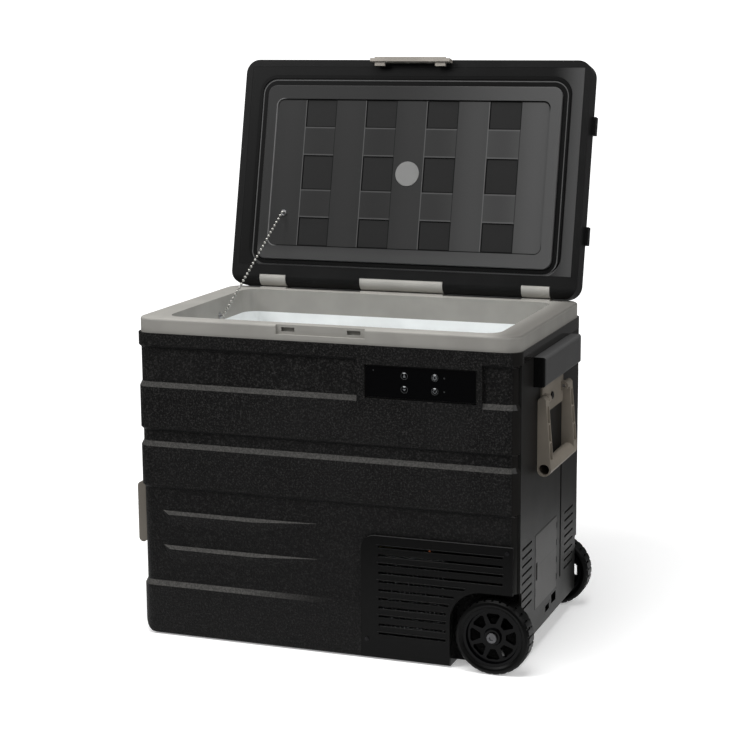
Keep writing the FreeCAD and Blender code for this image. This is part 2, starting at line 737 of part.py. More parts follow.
def outer_shell():
    """The black shell: banded outside, hollow inside, with its arches, seats and openings."""
    hollow = cut("shell_hollow", shell_outside(), cavity("shell_cavity", "bay_wall", "shell_top + 5"))
    well_span = ("shell_wall - 0.5", "arch_deep + shell_wall")
    rear_span = ("deep - arch_deep - shell_wall", "deep - shell_wall + 0.5")
    well_x = ("arch_left - shell_wall", "bay_wall + 1")
    well_z = ("shell_wall - 0.5", "arch_top + shell_wall")
    raised = ("bezel_left", "bezel_right")
    solid = fused(
        "shell_solid",
        hollow,
        block("front_well", well_x, well_span, well_z),
        block("rear_well", well_x, rear_span, well_z),
        block("display_frame", raised, ("-proud", "sunk + 1"), ("bezel_low", "bezel_high - bezel_step")),
        block("display_hood", raised, ("-proud / 4", "sunk + 1"), ("bezel_low", "bezel_high")),
        short_rib("upper_rib", "rib_upper"),
        short_rib("lower_rib", "rib_lower"),
    )
    through = ("-10", "shell_wall + 2")
    side_through = ("bay_wall - 2", "side_face + 10")
    margin = "0.3"
    openings = [
        foot_corner(),
        foot_wedge(),
        arch("front_arch", ("-20", "arch_deep")),
        arch("rear_arch", ("deep - arch_deep", "deep + 20")),
        rod("axle_hole", "y", ("wheel_x", "wheel_z"), ("0", "deep"), "axle_radius + 0.3"),
        block("grille_seat", ("grille_left - 0.3", "grille_right + 0.3"),
              ("-10", "grille_thick - proud"), ("-10", "grille_top + 0.3")),
        block("grille_window_left", ("slot_left - 6", "arch_left - shell_wall - 4"), through,
              ("foot_round + 4", "slot_top + 7")),
        block("grille_window_top", ("arch_left - shell_wall - 5", "slot_right + 4"), through,
              ("arch_top + shell_wall + 5", "slot_top + 7")),
        block("side_seat", ("side_face - side_thick - 0.3", "width + 30"),
              (f"side_margin - {margin}", f"deep - side_margin + {margin}"), ("-10",
                                                                              f"side_high + {margin}")),
        block("front_vent_window", side_through, ("arch_deep + shell_wall + 3",
                                                  "vent_front + vent_long - 2"),
              ("vent_top_front - 7.3 * vent_pitch", "vent_top_front + 3")),
        block("rear_vent_window", side_through, ("vent_back + 2", "deep - arch_deep - shell_wall - 3"),
              ("vent_top_back - 7.3 * vent_pitch", "vent_top_back + 3")),
        block("battery_window", side_through, ("door_front + 1.7", "door_back - 1.7"),
              ("door_low + 1.7", "door_high - 1.2")),
        block("dc_window", side_through, ("dc_front - 0.3", "dc_back + 0.3"),
              ("dc_low - 0.3", "dc_high + 0.3")),
        block("ac_window", side_through, ("ac_front - 0.3", "ac_back + 0.3"),
              ("ac_low - 0.3", "ac_high + 0.3")),
        block("display_window_hole", ("window_left - 2", "window_right + 2"), through,
              ("window_low - 2.5", "window_high + 2.5")),
    ]
    return keep("outer_shell", cut("outer_shell", solid, *openings))


def mouth(name, grow, span):
    """The opening of the rim, or the same outline grown on every side."""
    return rounded_block(
        name,
        (f"mouth_left - ({grow})", f"width - mouth_right + ({grow})"),
        (f"mouth_front - ({grow})", f"deep - mouth_back + ({grow})"),
        span,
        f"mouth_radius + ({grow})",
    )


def rim_frame():
    """The grey rim, its collar and the seat for the latch."""
    slab = rounded_block("rim_slab", ("0", "width"), ("0", "deep"), ("shell_top", "rim_top"), "rim_radius")
    eased = rounded_edges("rim_eased", slab, "4", lies_at("z", "rim_top"))
    collar = mouth("rim_collar", "collar_wall", ("collar_low", "shell_top"))
    body = fused("rim_body", eased, collar)
    catches = [
        block(name, (f"latch_middle + {way} * catch_spread / 2 - catch_wide / 2",
                     f"latch_middle + {way} * catch_spread / 2 + catch_wide / 2"),
              ("0", "latch_seat + 5"), ("latch_seat_low + 4", "latch_seat_low + 11"))
        for name, way in (("left_catch", -1), ("right_catch", 1))
    ]
    seat = block("latch_seat", ("latch_middle - latch_wide / 2 - 2", "latch_middle + latch_wide / 2 + 2"),
                 ("-5", "latch_seat"), ("latch_seat_low", "rim_top + 5"))
    opening = mouth("rim_mouth", "0", ("collar_low - 1", "rim_top + 1"))
    return keep("rim_frame", cut("rim_frame", body, opening, seat, *catches))


def tub(name, grow, top):
    """The liner's outline, grown on every side: a deep well and a shallow well over the bay."""
    x_low, x_high = f"mouth_left - ({grow})", f"width - mouth_right + ({grow})"
    y_span = (f"liner_front - ({grow})", f"deep - mouth_back + ({grow})")
    radius = f"mouth_radius + ({grow})"
    deep_well = rounded_block(
        name + "_deep", (x_low, f"bay_left - step_foam - 2 * liner_wall + ({grow})"), y_span,
        (f"liner_floor - ({grow})", top), radius)
    shallow = rounded_block(
        name + "_shallow", (x_low, x_high), y_span, (f"bay_top + step_rise - ({grow})", top), radius)
    return fused(name, deep_well, shallow)


def liner():
    """The white tub, with a flange under the rim's collar."""
    flange = mouth("liner_flange", "collar_wall", ("collar_low - liner_flange", "collar_low"))
    outside = fused("liner_outside", tub("liner_skin", "liner_wall", "collar_low"), flange)
    return keep("liner", cut("liner", outside, tub("liner_inside", "0", "collar_low + 1")))


def evaporator():
    """A cold plate bent round the liner."""
    span = ("evaporator_low", "evaporator_high")

    def band(name, grow):
        return rounded_block(
            name,
            (f"mouth_left - liner_wall - ({grow})", f"width - mouth_right + liner_wall + ({grow})"),
            (f"liner_front - liner_wall - ({grow})", f"deep - mouth_back + liner_wall + ({grow})"),
            span,
            f"mouth_radius + liner_wall + ({grow})",
        )
    plate = cut("evaporator", band("evaporator_outside", "evaporator_thick"),
                band("evaporator_inside", "0.1"))
    return keep("evaporator", plate)


def insulation_foam():
    """The foam between shell and liner, stepped over the compressor bay."""
    filling = cavity("foam_filling", "bay_wall", "shell_top")
    gap = "liner_wall + evaporator_thick + 0.3"
    bay = block("foam_bay", ("bay_left", "width + 10"), ("-10", "deep + 10"), ("-10", "bay_top"))
    well = tub("foam_well", gap, "shell_top + 5")
    top = mouth("foam_top", "collar_wall + 0.3", ("collar_low - liner_flange - 0.1", "shell_top + 5"))
    display = block("foam_display", ("window_left - 2", "window_right + 2"), ("0", "display_deep + 1"),
                    ("window_low - 2.5", "window_high + 2.5"))
    pipe = rod("foam_pipe", "z", (PIPE_IN[0], PIPE_IN[1]), ("bay_top - 1", "bay_top + pipe_into_foam"),
               "pipe_radius + 0.1")
    return keep("insulation_foam", cut("insulation_foam", filling, bay, well, top, display, pipe))


HINGES = {
    "left": ("hinge_middle - hinge_spread", "side_block"),
    "centre": ("hinge_middle", "centre_block"),
    "right": ("hinge_middle + hinge_spread", "side_block"),
}


def hinge_span(place, grow="0"):
    """The two ends of a hinge block, or of the room for it."""
    middle, wide = HINGES[place]
    return (f"{middle} - {wide} / 2 - ({grow})", f"{middle} + {wide} / 2 + ({grow})")


def hinge_block(place):
    """A grey knuckle on the rim's back ledge, bored for its pin."""
    name = f"hinge_block_{place}"
    span = hinge_span(place)
    axis = ("hinge_y", "hinge_z")
    body = fused(
        name + "_body",
        rod(name + "_barrel", "x", axis, span, "block_radius"),
        block(name + "_web", span, ("hinge_y", "deep"), ("rim_top", "hinge_z")),
        block(name + "_foot", span, ("hinge_y - 0.85 * block_radius", "deep"),
              ("rim_top", "flange_z - 0.4")),
    )
    bore = rod(name + "_bore", "x", axis, (span[0] + " - 1", span[1] + " + 1"),
               "hinge_pin_radius + pin_clearance")
    return keep(name, cut(name, body, bore))


def hinge_pins():
    """One pin through each hinge block, into the lid at both ends."""
    pins = [
        rod(f"hinge_pin_{place}", "x", ("hinge_y", "hinge_z"), hinge_span(place, "pin_reach"),
            "hinge_pin_radius")
        for place in HINGES
    ]
    return keep("hinge_pins", grouped("hinge_pins", *pins))


def lid_swing():
    """The turn about the hinge pins that takes a shut lid piece to where it rests."""
    pivot = FreeCAD.Vector(
        0, number("hinge_y - origin_y"), number("hinge_z - origin_z")
    )
    turn = FreeCAD.Rotation(FreeCAD.Vector(1, 0, 0), -number("open_angle"))
    return FreeCAD.Placement(FreeCAD.Vector(), turn, pivot)


def on_lid(label, piece):
    """Opens a lid piece that was drawn shut."""
    keep(label, piece)
    piece.Placement = lid_swing().multiply(piece.Placement)
    return piece


def lid_outline(name, x_in, front, back, z_span, radius):
    return rounded_block(
        name, (f"lid_left + {x_in}", f"width - lid_right - ({x_in})"), (front, back), z_span, radius
    )


LID_ROOM = ("3", "deep - mouth_back + 8.3")


def lid_cover():
    """The lid's outer cover, rounded about the hinge pins and notched for the hinge blocks and the latch."""
    top = "flange_z + lid_thick"
    slab = lid_outline("lid_slab", "0", "-lid_front", "deep + lid_back", ("flange_z", top), "lid_radius")
    eased = rounded_edges("lid_eased", slab, "lid_round", lies_at("z", top))
    bump_low, bump_high = f"{top} - 20", f"{top} - 6"
    bumps = [
        block(f"lid_bump_{number_of}", ("lid_left - bump_reach", "width - lid_right + bump_reach"),
              (f"{middle} - bump_long / 2", f"{middle} + bump_long / 2"), (bump_low, bump_high))
        for number_of, middle in enumerate(("95", "278"))
    ]
    body = fused("lid_body", eased, *bumps)
    room = block("lid_room", ("lid_left + lid_wall", "width - lid_right - lid_wall"), LID_ROOM,
                 ("flange_z - 1", f"{top} - lid_roof"))
    corner = block("lid_corner_block", ("-20", "width + 20"), ("hinge_y", "deep + lid_back + 10"),
                   ("flange_z - 10", "hinge_z"))
    keeper = rod("lid_corner_rod", "x", ("hinge_y", "hinge_z"), ("-21", "width + 21"), "hinge_radius")
    notches = []
    for place in HINGES:
        span = hinge_span(place, "1")
        notches.append(rod(f"lid_notch_{place}", "x", ("hinge_y", "hinge_z"), span, "hinge_radius + 0.3"))
        notches.append(block(f"lid_notch_back_{place}", span, ("hinge_y", "deep + lid_back + 10"),
                             ("flange_z - 1", "hinge_z + hinge_radius + 0.3")))
    pins = rod("lid_pin_bore", "x", ("hinge_y", "hinge_z"),
               ("hinge_middle - hinge_spread - side_block / 2 - pin_reach - 1",
                "hinge_middle + hinge_spread + side_block / 2 + pin_reach + 1"),
               "hinge_pin_radius + pin_clearance")
    latch_room = block("lid_latch_room", ("latch_middle - latch_wide / 2 - 1",
                                          "latch_middle + latch_wide / 2 + 1"),
                       ("-lid_front - 5", "latch_thick + clearance - lid_front"), ("flange_z - 1",
                                                                                   "latch_pivot + 4"))
    latch_bore = rod("lid_latch_bore", "x", ("latch_thick / 2 - lid_front", "latch_pivot"),
                     ("latch_middle - latch_wide / 2 - 7", "latch_middle + latch_wide / 2 + 7"),
                     "latch_pin_radius + pin_clearance")
    cover = cut("lid_cover", body, room, cut("lid_corner", corner, keeper), *notches, pins, latch_room,
                latch_bore)
    return on_lid("lid_cover", cover)


def lid_ring(name, grow, z_span):
    """The gasket's outline, set in by a distance."""
    return rounded_block(
        name, (f"gasket_left + {grow}", f"width - gasket_right - ({grow})"),
        (f"gasket_front + {grow}", f"gasket_back - ({grow})"), z_span, f"mouth_radius + 6 - ({grow})",
    )


def field_ring(name, grow, z_span):
    """The raised field's outline, grown on every side."""
    return rounded_block(
        name, (f"panel_left - ({grow})", f"width - panel_right + ({grow})"),
        (f"panel_front - ({grow})", f"panel_back + ({grow})"), z_span, f"field_radius + ({grow})",
    )


def lid_squares():
    """The pattern of sunk squares in the inner panel, columns by rows."""
    rows = (
        ("panel_front + field_edge", "square_near"),
        ("square_middle - square_deep / 2", "square_middle + square_deep / 2"),
        ("square_far", "panel_back - field_edge - 1"),
    )
    squares = []
    for column in range(4):
        middle = f"square_first + {column} * square_pitch"
        for row, (low, high) in enumerate(rows):
            across = (f"{middle} - square_wide / 2", f"{middle} + square_wide / 2")
            squares.append(block(f"square_{column}_{row}", across, (low, high),
                                 ("panel_z - 1", "field_z + square_sink")))
    return squares


def lid_inner_panel():
    """The lining of the lid: a plate, a raised field with a woven pattern and a groove for the gasket."""
    plate = block("panel_plate", ("lid_left + lid_wall + 0.3", "width - lid_right - lid_wall - 0.3"),
                  (LID_ROOM[0] + " + 0.3", LID_ROOM[1] + " - 0.3"), ("flange_z", "flange_z + panel_plate"))
    raised = field_ring("panel_raised", "0", ("panel_z", "flange_z + 1"))
    eased = rounded_edges("panel_eased", raised, "1.5", lies_at("z", "panel_z"))
    body = fused("panel_body", plate, eased)
    field = rounded_block("panel_field", ("panel_left + field_border", "width - panel_right - field_border"),
                          ("panel_front + field_edge", "panel_back - field_edge"), ("panel_z - 1",
                                                                                    "field_z"), "12")
    groove_span = ("flange_z - 1", "flange_z + gasket_groove")
    groove = cut("gasket_channel", lid_ring("channel_outside", "-0.2", groove_span),
                 field_ring("channel_inside", "gasket_side_gap - 0.2", groove_span))
    plug = rod("plug_hole", "z", ("plug_x", "plug_y"), ("panel_z - 1", "flange_z + panel_plate + 1"),
               "plug_radius + 0.3")
    panel = cut("lid_inner_panel", body, field, groove, plug, *lid_squares())
    return on_lid("lid_inner_panel", panel)


def lid_gasket():
    """The soft seal round the inner panel, with a lip along its outer edge."""
    span = ("rim_top + gasket_gap + 1", "flange_z + gasket_groove")
    lip_span = ("rim_top + gasket_gap", "rim_top + gasket_gap + 2")
    band = cut("gasket_band", lid_ring("gasket_outside", "0", span),
               field_ring("gasket_inside", "gasket_side_gap", span))
    lip = cut("gasket_lip", lid_ring("lip_outside", "1.5", lip_span), lid_ring("lip_inside", "6", lip_span))
    return on_lid("lid_gasket", fused("lid_gasket", band, lip))


def lid_foam():
    """The insulation inside the lid."""
    foam = block("lid_foam_block", ("lid_left + lid_wall + 0.3", "width - lid_right - lid_wall - 0.3"),
                 (LID_ROOM[0] + " + 0.3", LID_ROOM[1] + " - 0.3"),
                 ("flange_z + panel_plate", "flange_z + lid_thick - lid_roof - 0.2"))
    return on_lid("lid_foam", grouped("lid_foam", foam))


def foam_plug():
    """The pale disc that closes the lid's filling hole."""
    disc = rod("plug_disc", "z", ("plug_x", "plug_y"), ("field_z - 0.8", "flange_z + panel_plate"),
               "plug_radius")
    eased = rounded_edges("plug_eased", disc, "0.6", lies_at("z", "field_z - 0.8"))
    return on_lid("foam_plug", grouped("foam_plug", eased))


def latch_lever():
    """The grey latch: a plate on its pin, two teeth for the catches and a lip to pull."""
    x_span = ("latch_middle - latch_wide / 2", "latch_middle + latch_wide / 2")
    y_span = ("-lid_front", "latch_thick - lid_front")
    pivot = ("latch_thick / 2 - lid_front", "latch_pivot")
    teeth = [
        block(name, (f"latch_middle + {way} * catch_spread / 2 - catch_wide / 2 + 2",
                     f"latch_middle + {way} * catch_spread / 2 + catch_wide / 2 - 2"),
              ("latch_thick - lid_front - 1", "latch_seat - clearance"), ("latch_low + 3", "latch_low + 8"))
        for name, way in (("left_tooth", -1), ("right_tooth", 1))
    ]
    body = fused(
        "latch_body",
        block("latch_plate", x_span, y_span, ("latch_low", "latch_pivot")),
        rod("latch_barrel", "x", pivot, x_span, "latch_thick / 2"),
        block("latch_lip", (x_span[0] + " + 8", x_span[1] + " - 8"), ("-lid_front - 2", "-lid_front + 1"),
              ("latch_low", "latch_low + 7")),
        *teeth,
    )
    bore = rod("latch_bore", "x", pivot, (x_span[0] + " - 1", x_span[1] + " + 1"),
               "latch_pin_radius + pin_clearance")
    return on_lid("latch_lever", cut("latch_lever", body, bore))


def latch_pin():
    pin = rod("latch_rod", "x", ("latch_thick / 2 - lid_front", "latch_pivot"),
              ("latch_middle - latch_wide / 2 - 6", "latch_middle + latch_wide / 2 + 6"), "latch_pin_radius")
    return on_lid("latch_pin", grouped("latch_pin", pin))


def lid_chain_anchor():
    """The stud on the inner panel that holds the chain."""
    foot = rod("lid_anchor_foot", "z", ("chain_lid_x", "chain_lid_y"), ("field_z - 1.5", "field_z"),
               "anchor_radius")
    neck = rod("lid_anchor_neck", "z", ("chain_lid_x", "chain_lid_y"),
               ("field_z - anchor_long", "field_z"), "anchor_radius / 2")
    return on_lid("lid_chain_anchor", fused("lid_chain_anchor", foot, neck))


def rim_chain_anchor():
    """The stud on the inside of the rim that holds the chain."""
    foot = rod("rim_anchor_foot", "x", ("chain_rim_y", "chain_rim_z"), ("mouth_left", "mouth_left + 1.5"),
               "anchor_radius")
    neck = rod("rim_anchor_neck", "x", ("chain_rim_y", "chain_rim_z"),
               ("mouth_left", "mouth_left + anchor_long"), "anchor_radius / 2")
    return keep("rim_chain_anchor", fused("rim_chain_anchor", foot, neck))


def lid_chain():
    """A bead chain pulled straight between its two studs: beads on thin links."""
    radius = number("chain_bead / 2")
    gap = radius + 0.3
    shut = FreeCAD.Vector(
        number("chain_lid_x - origin_x"), number("chain_lid_y - origin_y"),
        number("field_z - anchor_long - origin_z") - gap,
    )
    start = lid_swing().multVec(shut)
    end = FreeCAD.Vector(
        number("mouth_left + anchor_long - origin_x") + gap, number("chain_rim_y - origin_y"),
        number("chain_rim_z - origin_z"),
    )
    run = end - start
    count = int(round(run.Length / number("chain_pitch"))) + 1
    beads = [Part.makeSphere(radius, start + run * (i / (count - 1))) for i in range(count)]
    link = Part.makeCylinder(number("chain_link / 2"), run.Length, start, run)
    print("chain", round(run.Length, 1), "mm,", count, "beads")
    feature = doc.addObject("Part::Feature", "lid_chain")
    feature.Shape = link.multiFuse(beads)
    return keep("lid_chain", feature)


def knuckle_span(place, grow="0"):
    """The two ends of one knuckle of the battery door, or of the room for it."""
    low = f"door_low + knuckle_first + {place} * knuckle_pitch"
    return (f"{low} - ({grow})", f"{low} + knuckle_long + ({grow})")


DOOR_AXIS = ("side_face - door_hinge_in", "door_back + door_hinge_back")
KNUCKLES = range(4)


def right_side_panel():
    """The right side panel with its two banks of vents, the battery opening, the inlets and a groove."""
    body = new_body("side_panel_body")
    outline = new_sketch(body, "side_outline", "YZ", level="side_face - side_thick")
    draw_rectangle(outline, ("side_margin", "deep - side_margin"), ("side_low", "side_high"))
    pad(body, "side_plate", outline, "side_thick")
    holes = new_sketch(body, "side_holes", "YZ", level="side_face")
    draw_rectangle(holes, ("door_front - clearance", "door_back + clearance"),
                   ("door_low - 0.3", "door_high + 0.3"))
    draw_rectangle(holes, ("dc_front - 0.3", "dc_back + 0.3"), ("dc_low - 0.3", "dc_high + 0.3"))
    draw_rectangle(holes, ("ac_front - 0.3", "ac_back + 0.3"), ("ac_low - 0.3", "ac_high + 0.3"))
    pocket(body, "side_openings", holes, "side_thick + 1")
    groove = new_sketch(body, "side_groove_outline", "YZ", level="side_face")
    draw_rectangle(groove, ("groove_front", "groove_front + groove_wide"), ("groove_low", "groove_high"))
    pocket(body, "side_groove", groove, "groove_sink")
    vents = new_sketch(body, "side_vent_outline", "YZ", level="side_face")
    draw_rectangle(vents, ("vent_front", "vent_front + vent_long"),
                   ("vent_top_front - vent_high / 2", "vent_top_front + vent_high / 2"))
    draw_rectangle(vents, ("vent_back", "vent_back + vent_long"),
                   ("vent_top_back - vent_high / 2", "vent_top_back + vent_high / 2"))
    top_vents = pocket(body, "side_vents", vents, "side_thick + 1")
    rowed(body, "side_vent_rows", [top_vents], (vents, ["V_Axis"]), "7 * vent_pitch", 8, backwards=True)
    rooms = []
    for place in KNUCKLES:
        rooms.append(block(f"knuckle_room_{place}", ("side_face - side_thick - 1", "side_face + 1"),
                           ("door_back - 1", f"{DOOR_AXIS[1]} + knuckle_radius + 0.7"), knuckle_span(place,
                                                                                                     "0.5")))
        rooms.append(rod(f"knuckle_bore_{place}", "z", DOOR_AXIS,
                         knuckle_span(place, "door_pin_reach + 0.2"),
                         "door_pin_radius + pin_clearance"))
    past = ("side_face - side_thick - 1", "side_face + 1")
    rooms.append(block("side_front_arch", past, ("0", "wheel_wide - wheel_out + wheel_side_gap"),
                       ("0", "arch_top")))
    rooms.append(block("side_rear_arch", past, ("deep - wheel_wide + wheel_out - wheel_side_gap", "deep"),
                       ("0", "arch_top")))
    return keep("right_side_panel", cut("right_side_panel", body, *rooms))


def battery_door():
    """The battery bay's door, with four knuckles at its back edge and a pull at its front."""
    face = "side_face + 0.3"
    plate = block("door_plate", (f"{face} - door_thick", face), ("door_front", "door_back"),
                  ("door_low", "door_high"))
    parts = [plate]
    for place in KNUCKLES:
        parts.append(rod(f"door_knuckle_{place}", "z", DOOR_AXIS, knuckle_span(place), "knuckle_radius"))
        parts.append(block(f"door_web_{place}", (f"{face} - door_thick", face),
                           ("door_back - 1", DOOR_AXIS[1]), knuckle_span(place)))
    bore = rod("door_bore", "z", DOOR_AXIS, ("door_low - 1", "door_high + 1"),
               "door_pin_radius + pin_clearance")
    middle = "(door_low + door_high) / 2"
    pull = block("door_pull", (f"{face} - door_thick + 1.2", "side_face + 2"),
                 ("door_front + 4", "door_front + 13"),
                 (f"{middle} - 14", f"{middle} + 14"))
    return keep("battery_door", cut("battery_door", fused("door_body", *parts), bore, pull))


def door_hinge_pins():
    pins = [
        rod(f"door_pin_{place}", "z", DOOR_AXIS, knuckle_span(place, "door_pin_reach"), "door_pin_radius")
        for place in KNUCKLES
    ]
    return keep("door_hinge_pins", grouped("door_hinge_pins", *pins))


def battery_tray():
    """The open bay behind the battery door; its rim is the door's stop."""
    wall = "2"
    x_low, x_high = "side_face - tray_deep - 3", "side_face - door_thick"
    outside = block("tray_outside", (x_low, x_high), ("door_front + 2", "door_back - 2"),
                    ("door_low + 2", "door_high - 1.5"))
    inside = block("tray_inside", (f"{x_low} + {wall}", "side_face"),
                   (f"door_front + 2 + {wall}", f"door_back - 2 - {wall}"),
                   (f"door_low + 2 + {wall}", f"door_high - 1.5 - {wall}"))
    return keep("battery_tray", cut("battery_tray", outside, inside))


def inlet(kind):
    """A recessed power inlet in the side panel."""
    x_span = ("side_face - inlet_deep", "side_face")
    y_span = (f"{kind}_front", f"{kind}_back")
    z_span = (f"{kind}_low", f"{kind}_high")
    outside = rounded_block(f"{kind}_body", x_span, y_span, z_span, "3", axis="x")
    inside = rounded_block(f"{kind}_recess", ("side_face - inlet_deep + 12", "side_face + 1"),
                           (f"{y_span[0]} + 3", f"{y_span[1]} - 3"), (f"{z_span[0]} + 3",
                                                                      f"{z_span[1]} - 3"), "2", axis="x")
    bores = [
        rod(f"{kind}_bore_{place}", "x", at, ("side_face - inlet_deep + 4", "side_face"),
            "contact_radius + 0.02")
        for place, at in enumerate(CONTACTS[kind])
    ]
    return keep(f"{kind}_inlet", cut(f"{kind}_inlet", outside, inside, *bores))


CONTACTS = {
    "dc": [("(dc_front + dc_back) / 2 - 6", "(dc_low + dc_high) / 2"),
           ("(dc_front + dc_back) / 2 + 6", "(dc_low + dc_high) / 2")],
    "ac": [("(ac_front + ac_back) / 2 - 8", "(ac_low + ac_high) / 2 - 2.5"),
           ("(ac_front + ac_back) / 2", "(ac_low + ac_high) / 2 + 2.5"),
           ("(ac_front + ac_back) / 2 + 8", "(ac_low + ac_high) / 2 - 2.5")],
}


def inlet_contacts():
    """The round contacts in the two power inlets."""
    pins = []
    for kind, places in CONTACTS.items():
        for place, at in enumerate(places):
            span = ("side_face - inlet_deep + 4", "side_face - inlet_deep + 21")
            pins.append(rod(f"{kind}_contact_{place}", "x", at, span, "contact_radius"))
    return keep("inlet_contacts", grouped("inlet_contacts", *pins))


def handle_housing():
    """The block above the carry handle, bevelled along its outer edges."""
    out = "side_face + housing_reach"
    block_shape = block("housing_block", ("side_face", out), ("housing_front", "housing_back"),
                        ("housing_low", "side_high"))
    rounded = rounded_edges("housing_rounded", block_shape, "5", lies_at("x", out))
    return keep("handle_housing", grouped("handle_housing", rounded))


ARMS = {
    "front": ("handle_front", "handle_front + arm_wide"),
    "rear": ("handle_back - arm_wide", "handle_back"),
}
HANDLE_AXIS = ("handle_x", "handle_pivot")
BOSSES = {
    "front": (ARMS["front"][1] + " + clearance", ARMS["front"][1] + " + clearance + boss_long"),
    "rear": (ARMS["rear"][0] + " - clearance - boss_long", ARMS["rear"][0] + " - clearance"),
}
BRACKET_SCREW = ("(handle_front + handle_back) / 2 - 8", "(bracket_low + bracket_high) / 2")


def handle_bracket():
    """The bracket that holds the carry handle between two bosses."""
    plate = rounded_block(
        "bracket_plate", ("side_face", "side_face + bracket_thick"), (BOSSES["front"][0], BOSSES["rear"][1]),
        ("bracket_low", "bracket_high"), "4", axis="x")
    bosses = []
    for place, span in BOSSES.items():
        bosses.append(rod(f"boss_{place}", "y", HANDLE_AXIS, span, "boss_radius"))
        bosses.append(block(f"boss_root_{place}", ("side_face", "handle_x"), span,
                            ("handle_pivot - boss_radius", "handle_pivot + boss_radius")))
    bore = rod("boss_bore", "y", HANDLE_AXIS, ("handle_front - 1", "handle_back + 1"),
               "pin_radius + pin_clearance")
    seat = rod("bracket_screw_seat", "x", BRACKET_SCREW, ("side_face - 1", "side_face + bracket_thick + 1"),
               "2.05")
    return keep("handle_bracket", cut("handle_bracket", fused("bracket_body", plate, *bosses), bore, seat))


def bracket_screw():
    """The screw through the bracket into the cabinet's side, with a cross recess."""
    shank = rod("bracket_screw_shank", "x", BRACKET_SCREW, ("side_face", "side_face + bracket_thick + 1"),
                "2")
    head = rod("bracket_screw_head", "x", BRACKET_SCREW,
               ("side_face + bracket_thick", "side_face + bracket_thick + 2.6"), "6")
    eased = rounded_edges("bracket_screw_round", head, "1.2",
                          lies_at("x", "side_face + bracket_thick + 2.6"))
    y, z = BRACKET_SCREW
    depth = ("side_face + bracket_thick + 1.4", "side_face + bracket_thick + 3")
    cross = [
        block("cross_level", depth, (f"{y} - 3.2", f"{y} + 3.2"), (f"{z} - 0.7", f"{z} + 0.7")),
        block("cross_upright", depth, (f"{y} - 0.7", f"{y} + 0.7"), (f"{z} - 3.2", f"{z} + 3.2")),
    ]
    return keep("bracket_screw", cut("bracket_screw", fused("bracket_screw_body", shank, eased), *cross))


def handle_pins():
    pins = [
        rod("handle_pin_front", "y", HANDLE_AXIS, ("handle_front + 2", BOSSES["front"][1] + " - 2"),
            "pin_radius"),
        rod("handle_pin_rear", "y", HANDLE_AXIS, (BOSSES["rear"][0] + " + 2", "handle_back - 2"),
            "pin_radius"),
    ]
    return keep("handle_pins", grouped("handle_pins", *pins))


def carry_handle():
    """Two tapering arms with ladder recesses in their outer faces, and a tube between them to lift by."""
    near = "side_face + clearance + 0.1"
    low = "handle_pivot - handle_drop"
    corners = [
        (near, "handle_pivot"),
        (near, low),
        ("grip_x + grip_radius - 0.2", low + " + 2"),
        ("handle_x + 6.3", "handle_pivot"),
    ]
    parts = []
    recesses = []
    for place, span in ARMS.items():
        parts.append(profile_bar(f"arm_{place}", "XZ", corners, span))
        parts.append(rod(f"arm_end_{place}", "y", HANDLE_AXIS, span, "6.4"))
        middle = f"({span[0]} + {span[1]}) / 2"
        for rung in range(3):
            down = f"(rung_first + {rung} * rung_pitch)"
            top = f"handle_pivot - {down}"
            floor = f"handle_x + 6.3 + (grip_x + grip_radius - handle_x - 6.5) * {down} / handle_drop"
            recesses.append(block(f"rung_{place}_{rung}", (f"{floor} - 2", "grip_x + grip_radius + 5"),
                                  (f"{middle} - rung_wide / 2", f"{middle} + rung_wide / 2"),
                                  (f"{top} - rung_high", top)))
    grip = rod("grip_tube", "y", ("grip_x", low), ("handle_front", "handle_back"), "grip_radius")
    bore = rod("grip_bore", "y", ("grip_x", low), ("handle_front - 1", "handle_back + 1"), "grip_bore")
    pins = rod("arm_bore", "y", HANDLE_AXIS, ("handle_front + 1.9", "handle_back - 1.9"),
               "pin_radius + pin_clearance")
    return keep("carry_handle", cut("carry_handle", fused("handle_body", *parts, grip), bore, pins,
                                    *recesses))


TOW_AXIS = ("tow_x", "tow_pivot")


def mirrored_span(span):
    """The same stretch of depth at the other side of the cabinet's middle."""
    return (f"deep - ({span[1]})", f"deep - ({span[0]})")


def tow_handle():
    """Two round-ended arms on the left side with a bar between them."""
    low = "tow_pivot - tow_drop"
    arm = ("tow_front", "tow_front + tow_arm")
    parts = []
    for place, span in (("front", arm), ("rear", mirrored_span(arm))):
        parts.append(rod(f"tow_top_{place}", "y", TOW_AXIS, span, "tow_radius"))
        parts.append(rod(f"tow_end_{place}", "y", ("tow_x", low), span, "tow_radius"))
        parts.append(block(f"tow_arm_{place}", ("tow_x - tow_radius", "tow_x + tow_radius"), span,
                           (low, "tow_pivot")))
    parts.append(rod("tow_bar", "y", ("tow_x", low), ("tow_front + 1", "deep - tow_front - 1"),
                     "tow_radius - 1"))
    bore = rod("tow_bore", "y", TOW_AXIS, ("tow_front + 1.9", "deep - tow_front - 1.9"),
               "pin_radius + pin_clearance")
    return keep("tow_handle", cut("tow_handle", fused("tow_body", *parts), bore))


TOW_EAR = ("tow_front + tow_arm + 2.5", "tow_front + tow_arm + 2.5 + tow_ear")


